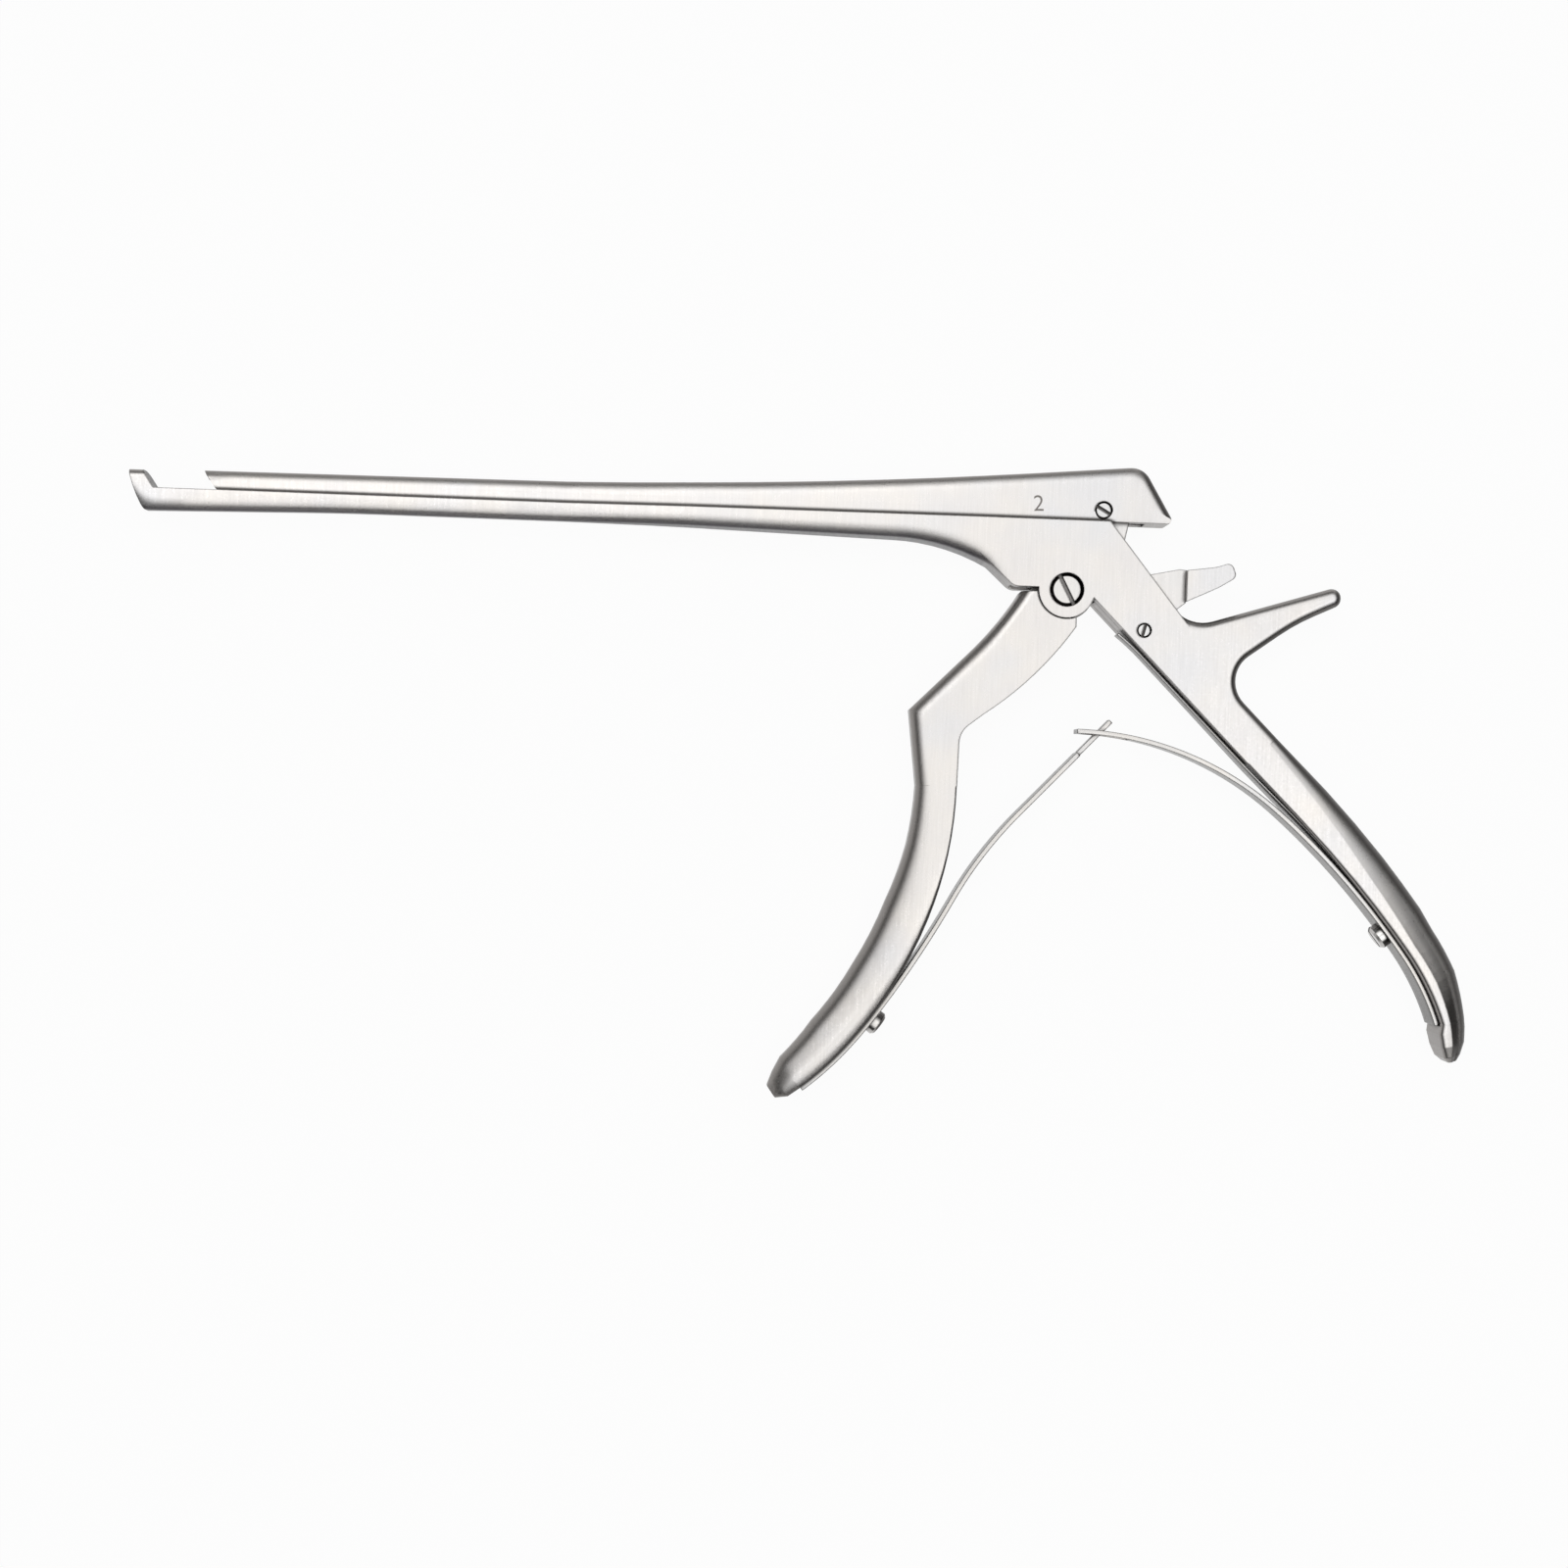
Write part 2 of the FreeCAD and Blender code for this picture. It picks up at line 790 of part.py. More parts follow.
# Width, back band, bow of the band, flank, drop of the flank, inner rounding, thinning, inner swell
GRIP_SECTIONS = [
    Section(7.6, 1.6, 1.0, 0.4, 0.05, 0.3),
    Section(8.0, 2.4, 1.15, 1.0, 0.15, 0.5),
    Section(8.0, 2.8, 1.15, 2.2, 0.5, 0.8),
    Section(7.8, 2.8, 1.15, 2.8, 0.8, 0.9),
    Section(7.3, 2.6, 1.15, 2.8, 0.9, 0.9),
    Section(7.0, 2.4, 1.15, 2.6, 1.0, 0.9),
    Section(5.4, 2.0, 1.15, 1.8, 1.0, 0.9),
    Section(5.0, 1.9, 1.15, 1.7, 1.0, 0.9, 0.1, 0.8),
    Section(4.2, 1.7, 1.15, 1.4, 0.9, 0.9, 0.4, 0.9),
    Section(3.0, 1.3, 1.15, 0.9, 0.7, 0.8, 1.1, 0.6),
    Section(2.1, 0.8, 1.15, 0.4, 0.4, 0.5, 2.0, -0.2),
]
TRIGGER_SECTIONS = [
    Section(7.75, 2.2, 1.0, 0.4, 0.05, 0.4),
    Section(8.1, 2.4, 1.1, 1.4, 0.3, 0.5),
    Section(8.8, 2.8, 1.15, 2.4, 0.7, 0.8),
    Section(8.7, 2.9, 1.15, 2.8, 0.9, 0.9),
    Section(8.4, 2.8, 1.15, 2.8, 1.0, 0.9),
    Section(8.1, 2.7, 1.15, 2.6, 1.0, 0.9),
    Section(6.7, 2.3, 1.15, 2.0, 1.0, 0.9),
    Section(5.3, 1.9, 1.15, 1.3, 0.8, 0.8, 0.8),
    Section(3.9, 1.2, 1.15, 0.7, 0.5, 0.6, 1.9, -1.1),
]


def frame_root(body):
    """The spur with the thumb web and the handle's root, rounded along its outer edges."""
    width = GRIP_SECTIONS[0].width
    back = grip_root.beside(width)
    inner = grip_root.beside(1)
    web = back.ahead(-dim.web_reach)
    lean = (dim.spur_root_x - dim.body_rear_x) / (dim.rail_height - dim.spur_root_y)
    rise = dim.spur_root_round
    outline = new_sketch(body, "SpurOutline", "XY", 0, 0, middle)
    draw(
        outline,
        [
            Corner(inner.x, inner.y),
            Corner(back.x, back.y),
            Corner(web.x, web.y, rounding=dim.web_round),
            Corner(dim.spur_knee_x, dim.spur_knee_y, rounding=dim.spur_knee_round),
            Corner(dim.spur_tip_x, dim.spur_tip_y - dim.spur_tip_depth, rounding=dim.spur_tip_round),
            Corner(dim.spur_tip_x, dim.spur_tip_y, rounding=dim.spur_tip_round),
            Corner(dim.spur_root_x, dim.spur_root_y, rounding=rise),
            Corner(dim.spur_root_x - rise * lean, dim.spur_root_y + rise),
            Corner(dim.spur_root_x - rise * lean - rise / 2, dim.spur_root_y),
        ],
    )
    blank = pad(body, outline, dim.thickness, name="SpurPad")
    outer = rims(blank.Shape, lambda x, y, nx, ny: x > dim.spur_tip_x.value - 3 and ny > 0.5)
    fillet(body, blank, outer[:2], dim.spur_round, "SpurFillet")


def main_frame():
    """Lower shaft with the footplate, body, spur and rear handle, forged and milled in one piece."""
    body = new_body("main_frame")
    frame_root(body)
    rail = dim.rail_height
    waist = rail - dim.shaft_depth_waist
    waist_end = Corner(-dim.shaft_waist_rear, waist, rounding=dim.shaft_waist_round)
    root_end = Corner(-dim.shaft_root_x, rail - dim.shaft_depth_root)
    belly = Corner(-dim.belly_x, dim.belly_height)
    foot_top = dim.foot_reach + dim.foot_height * tan(dim.bite_slant)
    ear = dim.boss_radius * dim.boss_radius
    notch = line_foot.ahead(root(ear - dim.grip_offset * dim.grip_offset))
    shoulder_end = root(ear - dim.shoulder_height * dim.shoulder_height)
    inside = grip_root.beside(2)
    outline = new_sketch(body, "BodyOutline", "XY", 0, 0, middle)
    draw(
        outline,
        [
            Corner(dim.body_rear_x, rail),
            Corner(-dim.foot_reach, rail),
            Corner(-foot_top, rail + dim.foot_height),
            Corner(-foot_top - dim.foot_top_width, rail + dim.foot_height, dim.foot_front_radius),
            Corner(-dim.foot_heel, rail - dim.shaft_depth_tip),
            Corner(-dim.shaft_waist_front, waist, rounding=dim.shaft_waist_round),
            waist_end,
            Corner(root_end.x, root_end.y, smooth_radius(waist_end, root_end, belly), False),
            belly,
            Corner(-dim.shoulder_x, dim.shoulder_height, rounding=dim.shoulder_round),
            Corner(-shoulder_end, dim.shoulder_height, dim.boss_radius),
            Corner(notch.x, notch.y),
            Corner(grip_root.x, grip_root.y),
            Corner(inside.x, inside.y),
            Corner(dim.spur_root_x, dim.spur_root_y),
        ],
    )
    pad(body, outline, dim.thickness, name="BodyPad")
    taper(body, -dim.foot_heel * 1.1)
    under = rims(
        body.Shape,
        lambda x, y, nx, ny: -dim.foot_heel.value - 2 < x < -dim.belly_x.value and ny < -0.6,
    )
    fillet(body, body.Tip, under, dim.shaft_round, "ShaftFillet")
    top = rims(body.Shape, lambda x, y, nx, ny: x < -dim.foot_reach.value and ny > 0.9)
    fillet(body, body.Tip, top, dim.foot_top_round, "FootFillet")
    loft_handle(body, grip, GRIP_SECTIONS, 1)

    seat = stretch(grip, 0, 6).straight(dim.seat_clear)
    groove = new_sketch(body, "LeafSeat", "XY", 0, 0, middle)
    draw(groove, seat.strip(dim.groove_depth, -dim.seat_open))
    pocket(body, groove, dim.groove_width, name="LeafSeatCut")

    slot = new_sketch(body, "KnuckleSlot", "XY", 0, 0, middle)
    draw(
        slot,
        [
            Corner(-dim.slot_front_x, rail + dim.slot_over),
            Corner(-dim.slot_front_x, -dim.slot_over),
            Corner(dim.slot_toe_x, dim.slot_toe_y),
            Corner(dim.slot_heel_x, dim.slot_heel_y),
            Corner(dim.slot_back_x, dim.slot_heel_y + dim.slot_back_x - dim.slot_heel_x),
            Corner(dim.slot_back_x, dim.slot_back_y),
            Corner(dim.slot_mouth_x, dim.slot_mouth_y),
            Corner(dim.slot_lip_x, rail + dim.slot_over),
        ],
    )
    pocket(body, slot, dim.slot_width, name="KnuckleSlotCut")

    groove_top = new_sketch(body, "RailGroove", "YZ", 1 - dim.slot_front_x, 0, 0)
    draw(groove_top, rail_profile(dim.rail_gap, 1))
    reach = dim.foot_reach - dim.groove_stop - dim.slot_front_x + 1
    pocket(body, groove_top, reach, symmetric=False, name="RailGrooveCut")

    screw_hole(body, "Pivot", 0, 0, dim.pivot_shank, dim.pivot_head, dim.pivot_head_depth)
    screw_hole(
        body, "Latch", dim.latch_x, dim.latch_y,
        dim.latch_shank, dim.latch_head, dim.latch_head_depth,
    )
    hole = rear_clamp.beside(-1)
    hole = Knot(hole.x, hole.y, rear_clamp.heading - 90)
    depth = (dim.leaf_screw_reach + 1) * 2
    cross_bore(body, "ClampBore", hole, dim.leaf_screw_shank + dim.bore_gap, depth)
    return body


def rail_profile(gap, rise):
    """The undercut rail's profile in y and z, wider all round by the gap."""
    gap = as_size(gap)
    neck = dim.rail_neck / 2 + gap
    foot = dim.rail_foot / 2 + gap
    top = dim.rail_height + rise
    low = dim.rail_height - dim.rail_depth - gap
    knee = dim.rail_height - dim.rail_depth / 2 + gap
    return [
        Corner(top, middle - neck),
        Corner(top, middle + neck),
        Corner(knee, middle + neck),
        Corner(low + 0.3, middle + foot),
        Corner(low, middle + foot),
        Corner(low, middle - foot),
        Corner(low + 0.3, middle - foot),
        Corner(knee, middle - neck),
    ]


def taper(body, start_x):
    """Thins a shaft towards its tip by cutting both sides away."""
    slim = dim.tip_width / 2
    wide = dim.shaft_width / 2
    loop = [
        Corner(start_x, slim),
        Corner(-dim.slim_end_x, slim, rounding=dim.width_blend),
        Corner(-dim.wide_start_x, wide, rounding=dim.width_blend),
        Corner(-dim.full_width_x, middle),
        Corner(-dim.full_width_x, dim.thickness),
        Corner(start_x, dim.thickness),
    ]
    trim(body, "SideTaper", both_sides(loop))


def between(a, b, share):
    """The section that lies between two others."""
    mixed = {key: value + (vars(b)[key] - value) * share for key, value in vars(a).items()}
    return Section(**mixed)


def finer(route, sections):
    """Knots close enough together for a smooth handle, each with its section."""
    steps = [(route.knots[0], sections[0])]
    for n, leg in enumerate(route.legs):
        here, there = route.knots[n], route.knots[n + 1]
        turn = there.heading - here.heading
        parts = math.ceil(abs(turn.value) / HANDLE_STEP)
        for part in range(1, parts):
            share = part / parts
            radius, left = leg
            knot = here.bend(radius, turn * (share if left else -share), left)
            steps.append((knot, between(sections[n], sections[n + 1], share)))
        steps.append((there, sections[n + 1]))
    return steps


def loft_handle(body, route, sections, outward):
    """The handle from its root to its end, through sections along its inner line."""
    sketches = []
    for n, (knot, section) in enumerate(finer(route, sections)):
        sketches.append(handle_section(body, f"HandleSection{n}", knot, section, outward))
    loft = body.newObject("PartDesign::AdditiveLoft", "HandleLoft")
    loft.Profile = sketches[0]
    loft.Sections = sketches[1:]
    loft.Ruled = True
    finish_feature(body, loft, "HandleLoft")


def slider():
    """Upper shaft, which slides along the rail and carries the cutting cup."""
    body = new_body("slider_shaft")
    low = dim.rail_height + dim.slide_gap
    crown = dim.rail_height + dim.slider_crown_height
    knee = dim.rail_height + dim.slider_knee_height
    tip_x = dim.foot_reach - dim.bite_opening
    top_x = tip_x + dim.slider_height_tip * tan(dim.bite_slant)
    outline = new_sketch(body, "SliderOutline", "XY", 0, 0, middle)
    draw(
        outline,
        [
            Corner(-tip_x, low),
            Corner(dim.slider_rear_x, low, rounding=dim.slider_rear_round),
            Corner(dim.slider_crown_x, crown, rounding=dim.slider_crown_round),
            Corner(-dim.slider_knee_x, knee, rounding=dim.slider_knee_round),
            Corner(-top_x, low + dim.slider_height_tip),
        ],
    )
    pad(body, outline, dim.thickness, name="SliderPad")
    taper(body, -top_x * 1.1)
    crest_end = dim.slider_crown_x.value - dim.slider_crown_round.value
    crest = rims(body.Shape, lambda x, y, nx, ny: -top_x.value < x < crest_end and ny > 0.6)
    fillet(body, body.Tip, crest, dim.slider_round, "CrestFillet")

    rail = new_sketch(body, "RailTongue", "YZ", -dim.rail_front, 0, 0)
    draw(rail, rail_profile(0, dim.slide_gap + 0.5))
    pad(body, rail, dim.rail_front - dim.rail_rear, symmetric=False, name="RailTonguePad")

    slot = new_sketch(body, "DriveSlot", "XY", 0, 0, middle)
    left, right = dim.drive_x - dim.drive_slot_front, dim.drive_x + dim.drive_slot_rear
    draw(slot, box(left, right, low - 1, dim.drive_y + dim.drive_slot_top))
    pocket(body, slot, dim.slot_width, name="DriveSlotCut")

    cup = new_sketch(body, "Cup", "XY", 0, 0, middle)
    floor = low + dim.cup_floor
    lean = tan(dim.bite_slant)
    high = dim.slider_height_tip - dim.cup_floor * 0.9
    draw(
        cup,
        [
            Corner(-tip_x - dim.cup_floor * lean - 0.8, floor),
            Corner(-tip_x - dim.cup_floor * lean + dim.cup_depth, floor),
            Corner(-tip_x - high * lean + dim.cup_depth, low + high),
            Corner(-tip_x - high * lean - 0.8, low + high),
        ],
    )
    pocket(body, cup, dim.cup_width, name="CupCut")

    screw_hole(
        body, "Drive", dim.drive_x, dim.drive_y,
        dim.drive_shank, dim.drive_head, dim.drive_head_depth,
    )
    return body


def on_arm(across, along):
    """A point of the driving arm, whose axis runs from the pivot through the drive screw."""
    length = root(dim.drive_x * dim.drive_x + dim.drive_y * dim.drive_y)
    east, north = dim.drive_x / length, dim.drive_y / length
    return Corner(across * north + along * east, along * north - across * east)


def at_polar(radius, angle, arc=None, left=True):
    return Corner(radius * cos(angle), radius * sin(angle), arc, left)


def front_handle():
    """The trigger: a full-thickness handle whose thin upper tongue turns in the body and drives the slider."""
    body = new_body("trigger_handle")
    hub = dim.boss_radius + dim.boss_gap
    shoulder = root(hub * hub - dim.trigger_shoulder_y * dim.trigger_shoulder_y)
    width = TRIGGER_SECTIONS[0].width
    notch_y = dim.trigger_rear_y * 0.735
    notch_x = root(hub * hub - notch_y * notch_y)
    outline = new_sketch(body, "PlateOutline", "XY", 0, 0, middle)
    draw(
        outline,
        [
            Corner(-dim.trigger_shoulder_x, dim.trigger_shoulder_y, dim.trigger_neck_radius, False),
            Corner(dim.trigger_neck_x, dim.trigger_neck_y),
            Corner(dim.trigger_corner_x, dim.trigger_corner_y),
            Corner(dim.trigger_grip_x - width, dim.trigger_grip_y),
            Corner(dim.trigger_grip_x, dim.trigger_grip_y),
            Corner(dim.trigger_crook_x, dim.trigger_crook_y, rounding=dim.trigger_crook_round),
            Corner(dim.trigger_inner_x, dim.trigger_inner_y, dim.trigger_rear_radius, True),
            Corner(dim.trigger_rear_x, dim.trigger_rear_y),
            Corner(notch_x, notch_y, hub, False),
            Corner(-shoulder, dim.trigger_shoulder_y),
        ],
    )
    pad(body, outline, dim.thickness, name="PlatePad")
    front = rims(
        body.Shape,
        lambda x, y, nx, ny: x < -dim.trigger_shoulder_x.value and nx < -0.5 and y < -1,
    )
    fillet(body, body.Tip, front, dim.trigger_band, "FrontFillet")
    loft_handle(body, trigger_line, TRIGGER_SECTIONS, -1)

    seat = stretch(trigger_line, 3, 6).straight(dim.seat_clear)
    groove = new_sketch(body, "LeafSeat", "XY", 0, 0, middle)
    draw(groove, seat.strip(dim.seat_open, -dim.leaf_seat))
    pocket(body, groove, dim.groove_width, name="LeafSeatCut")

    half_slot = dim.drive_shank + dim.drive_play
    release = dim.stop_angle + dim.release_turn
    tongue = new_sketch(body, "TongueOutline", "XY", 0, 0, middle)
    draw(
        tongue,
        [
            on_arm(-dim.fork_left, dim.fork_height),
            Corner(-dim.arm_foot, 3),
            Corner(-dim.arm_foot, -3),
            Corner(0.8, -8),
            Corner(notch_x, notch_y, hub, True),
            at_polar(hub, dim.stop_angle),
            at_polar(dim.step_radius, dim.stop_angle, dim.step_radius, True),
            at_polar(dim.step_radius, release),
            at_polar(dim.arm_neck_radius, release, dim.arm_neck_radius, False),
            at_polar(dim.arm_neck_radius, dim.stop_angle),
            at_polar(dim.arm_corner_radius, dim.stop_angle),
            on_arm(dim.fork_right, dim.fork_height),
            on_arm(half_slot, dim.fork_height),
            on_arm(half_slot, dim.fork_depth),
            on_arm(-half_slot, dim.fork_depth),
            on_arm(-half_slot, dim.fork_height),
        ],
    )
    pad(body, tongue, dim.tongue_width, name="TonguePad")
    bore(body, "PivotBore", 0, 0, dim.pivot_shank + dim.bore_gap)
    hole = front_clamp.beside(1)
    hole = Knot(hole.x, hole.y, front_clamp.heading + 90)
    depth = (dim.leaf_screw_reach + 1) * 2
    cross_bore(body, "ClampBore", hole, dim.leaf_screw_shank + dim.bore_gap, depth)
    return body


def latch_lever():
    """The pawl in the body's slot that stops the arm, with a thumb tab behind the body."""
    body = new_body("latch_lever")
    clear = dim.latch_nose_radius
    reach = root(clear * clear - dim.grip_offset * dim.grip_offset)
    heel = line_foot.ahead(reach)
    tail = line_foot.ahead(dim.latch_tail)
    back = tail.beside(dim.latch_tail_width)
    nose_angle = dim.stop_angle - dim.latch_stop_turn
    outline = new_sketch(body, "LeverOutline", "XY", 0, 0, middle)
    draw(
        outline,
        [
            Corner(heel.x, heel.y),
            Corner(tail.x, tail.y, rounding=dim.latch_tail_round),
            Corner(back.x, back.y, rounding=dim.latch_tail_round),
            Corner(dim.latch_hollow_x, dim.latch_hollow_y, rounding=dim.latch_hollow_round),
            Corner(dim.latch_neck_x, dim.latch_neck_y),
            Corner(dim.latch_tab_x, dim.tab_root_low),
            Corner(dim.latch_tab_x, dim.tab_root_high),
            Corner(dim.latch_crest_x, dim.latch_crest_y, rounding=dim.latch_crest_round),
            Corner(dim.latch_brow_x, dim.latch_brow_y, rounding=dim.latch_brow_round),
            at_polar(dim.step_radius - dim.latch_nose_gap, nose_angle),
            at_polar(clear, nose_angle, clear, False),
        ],
    )
    pad(body, outline, dim.latch_width, name="LeverPad")
    root_x = dim.latch_tab_x - dim.tab_step
    tab = new_sketch(body, "TabOutline", "XY", 0, 0, middle)
    draw(
        tab,
        [
            Corner(root_x, dim.tab_root_high - dim.tab_step),
            Corner(root_x, dim.tab_root_low + dim.tab_step),
            Corner(dim.tab_low_x, dim.tab_low_y, rounding=dim.tab_waist_round),
            Corner(dim.tab_tip_x, dim.tab_tip_y, rounding=dim.tab_tip_round),
            Corner(dim.tab_tip_x - dim.tab_slant, dim.tab_top_y, rounding=dim.tab_tip_round),
            Corner(dim.tab_high_x, dim.tab_high_y, rounding=dim.tab_waist_round),
        ],
    )
    pad(body, tab, dim.latch_tab_width, name="TabPad")
    bore(body, "LatchBore", dim.latch_x, dim.latch_y, dim.latch_shank + dim.bore_gap)
    return body


def rear_leaf():
    """The broad leaf on the rear handle, slotted at its free end."""
    half = dim.leaf_thickness / 2
    side = -half - dim.leaf_gap
    start = rear_clamp
    base = stretch(grip, 3, 6)
    free = (
        Route(start.beside(side).back())
        .bend(dim.rear_leaf_bend, dim.rear_leaf_bend_turn, left=True)
        .bend(dim.rear_leaf_tip_bend, dim.rear_leaf_tip_turn, left=True)
    )
    inner = base.side(side - half)
    outer = base.side(side + half)
    left = free.side(half)
    right = free.side(-half)
    outline = backwards(inner)[:-1] + left + backwards(right) + outer[1:]
    body = leaf("rear_leaf_spring", outline, dim.leaf_width)
    tip = free.knots[-1]
    slot_start = tip.x + dim.rear_slot_end
    slot_half = dim.rear_slot_width / 2
    slot = box(slot_start, slot_start + dim.rear_slot_length, -slot_half, slot_half)
    trim(body, "TipSlot", [slot])
    narrow = dim.leaf_tip_width / 2
    full = dim.leaf_width / 2
    wedge = [
        Corner(tip.x - dim.leaf_width, narrow),
        Corner(slot_start + dim.rear_slot_length, narrow),
        Corner(rear_clamp.x - dim.leaf_flare, full),
        Corner(rear_clamp.x - dim.leaf_flare, dim.thickness),
        Corner(tip.x - dim.leaf_width, dim.thickness),
    ]
    trim(body, "LeafTaper", both_sides(wedge))
    clamp_hole(body, start, -90, -1)
    return body


def clamp_hole(body, clamp, side, offset):
    hole = clamp.beside(offset)
    hole = Knot(hole.x, hole.y, clamp.heading + side)
    cross_bore(body, "ClampHole", hole, dim.leaf_screw_shank + dim.bore_gap, 6)


def latch_leaf():
    """The thin leaf under the rear one, which holds the latch against its stop."""
    thick = dim.latch_leaf_thickness
    side = dim.groove_depth - thick / 2 - dim.leaf_gap
    low = side - thick / 2
    high = side + thick / 2
    base = stretch(grip, 3, 6)
    start = rear_clamp.beside(side).back()
    free = (
        Route(start)
        .bend(dim.grip_bend + side, dim.rear_clamp_turn, left=True)
        .bend(dim.latch_leaf_ease, dim.latch_leaf_ease_turn, left=True)
        .straight(dim.latch_leaf_lift)
        .bend(dim.latch_leaf_bend, dim.latch_leaf_ease_turn - dim.grip_bend_turn)
        .straight(dim.latch_leaf_free)
        .bend(dim.latch_leaf_curl_radius, dim.latch_leaf_curl, left=True)
    )
    outline = backwards(base.side(low))[:-1]
    outline += free.side(thick / 2)
    outline += backwards(free.side(-thick / 2))
    outline += base.side(high)[1:]
    body = leaf("latch_leaf_spring", outline, dim.latch_leaf_width)
    narrow = dim.latch_leaf_tip_width / 2
    full = dim.latch_leaf_width / 2
    tip = free.knots[-1]
    wedge = [
        Corner(tip.x - dim.leaf_width, narrow),
        Corner(grip_root.x - dim.latch_leaf_lift, narrow),
        Corner(grip_root.x + dim.latch_leaf_lift, full),
        Corner(grip_root.x + dim.latch_leaf_lift, dim.thickness),
        Corner(tip.x - dim.leaf_width, dim.thickness),
    ]
    trim(body, "LeafTaper", both_sides(wedge))
    clamp_hole(body, rear_clamp, -90, -1)
    return body


def front_leaf():
    """The leaf on the front handle, whose narrow end passes through the rear leaf's slot."""
    half = dim.leaf_thickness / 2
    side = half - dim.leaf_seat + dim.leaf_gap
    base = stretch(trigger_line, 4, 6)
    free = (
        Route(front_clamp.beside(side).back())
        .bend(dim.front_leaf_bend, dim.front_leaf_bend_turn, left=True)
        .bend(dim.front_leaf_tip_bend, dim.front_leaf_tip_turn)
        .straight(dim.front_leaf_straight)
    )
    outline = backwards(base.side(side - half))[:-1]
    outline += free.side(half)
    outline += backwards(free.side(-half))
    outline += base.side(side + half)[1:]
    body = leaf("front_leaf_spring", outline, dim.leaf_width)
    tip = free.knots[-1]
    slim = dim.front_tongue_width / 2
    narrow = dim.leaf_tip_width / 2
    full = dim.leaf_width / 2
    shoulder = tip.x - dim.front_tongue_length
    wedge = [
        Corner(tip.x + dim.leaf_width, slim),
        Corner(shoulder, slim),
        Corner(shoulder - dim.front_tongue_neck, narrow),
        Corner(front_clamp.x + dim.leaf_flare, full),
        Corner(front_clamp.x + dim.leaf_flare, dim.thickness),
        Corner(tip.x + dim.leaf_width, dim.thickness),
    ]
    trim(body, "LeafTaper", both_sides(wedge))
    clamp_hole(body, front_clamp, 90, 1)
    return body


def screws():
    head_top = dim.thickness - dim.head_sink
    made = []

    def upright(label, x, y, head, shank, slot, turn):
        length = head_top - head[1] - dim.bore_floor - dim.screw_clear
        place = (as_size(x), as_size(y), head_top, 0)
        made.append(screw(label, place, head, (shank, length), slot, True, turn))

    upright(
        "pivot_screw", 0, 0,
        (dim.pivot_head, dim.pivot_head_depth), dim.pivot_shank, dim.pivot_slot, dim.pivot_slot_turn,
    )
    upright(
        "drive_screw", dim.drive_x, dim.drive_y,
        (dim.drive_head, dim.drive_head_depth), dim.drive_shank, dim.drive_slot, dim.drive_slot_turn,
    )
    upright(
        "latch_screw", dim.latch_x, dim.latch_y,
        (dim.latch_head, dim.latch_head_depth), dim.latch_shank, dim.latch_slot, dim.latch_slot_turn,
    )
    leaf_head = (dim.leaf_screw_head, dim.leaf_screw_height)
    leaf_shank = (dim.leaf_screw_shank, dim.leaf_screw_reach)
    over = dim.leaf_thickness + dim.leaf_gap * 2 + dim.leaf_screw_height
    rear = rear_clamp.beside(-over)
    place = (rear.x, rear.y, middle, rear_clamp.heading - 90)
    made.append(screw("rear_leaf_screw", place, leaf_head, leaf_shank, dim.drive_slot, False))
    front = front_clamp.beside(over - dim.leaf_seat)
    place = (front.x, front.y, middle, front_clamp.heading + 90)
    made.append(screw("front_leaf_screw", place, leaf_head, leaf_shank, dim.drive_slot, False))
    return made


def main():
    bodies = [main_frame(), slider(), front_handle(), latch_lever(), rear_leaf(), latch_leaf(), front_leaf()]
    bodies += screws()
    doc.recompute()
    for thing in doc.Objects:
        if "Invalid" in thing.State or "Error" in thing.State:
            raise RuntimeError(f"{thing.Label}: {thing.State}")
    for body in bodies:
        if body.Shape.isNull() or not body.Shape.isValid() or len(body.Shape.Solids) != 1:
            raise RuntimeError(f"{body.Label}: bad shape with {len(body.Shape.Solids)} solids")
        body.Shape.exportStep(f"parts/{body.Label}.step")
        bounds = body.Shape.BoundBox
        low = [round(v, 2) for v in (bounds.XMin, bounds.YMin, bounds.ZMin)]
        high = [round(v, 2) for v in (bounds.XMax, bounds.YMax, bounds.ZMax)]
        print(body.Label, round(body.Shape.Volume, 1), low, high)


main()
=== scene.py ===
import json
import math

import bmesh
import bpy
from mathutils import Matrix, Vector


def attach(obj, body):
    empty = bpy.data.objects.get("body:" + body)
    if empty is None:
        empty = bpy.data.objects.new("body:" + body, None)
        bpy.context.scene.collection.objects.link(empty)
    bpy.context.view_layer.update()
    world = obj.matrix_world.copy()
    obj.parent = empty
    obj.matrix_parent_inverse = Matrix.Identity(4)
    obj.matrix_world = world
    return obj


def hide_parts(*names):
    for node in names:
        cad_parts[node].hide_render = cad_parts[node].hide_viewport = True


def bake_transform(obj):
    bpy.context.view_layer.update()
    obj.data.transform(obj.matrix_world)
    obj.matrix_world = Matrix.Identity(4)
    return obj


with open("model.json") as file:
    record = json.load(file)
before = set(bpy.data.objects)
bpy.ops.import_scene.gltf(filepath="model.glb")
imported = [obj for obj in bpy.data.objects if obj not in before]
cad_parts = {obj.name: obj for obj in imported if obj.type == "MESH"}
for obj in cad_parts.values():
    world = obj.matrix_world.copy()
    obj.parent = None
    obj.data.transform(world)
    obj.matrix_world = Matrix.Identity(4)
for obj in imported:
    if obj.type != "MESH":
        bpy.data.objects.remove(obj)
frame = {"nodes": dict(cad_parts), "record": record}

# A take-apart bone rongeur on a pale table, seen from straight above. The script works in millimetres
# up to the point where a mesh is made, which is in metres.

MM = 0.001
MIDDLE = 4.5
THICKNESS = 9.0
# The camera is turned by this much, and the numeral stands level in its view
TILT = math.radians(2.15)
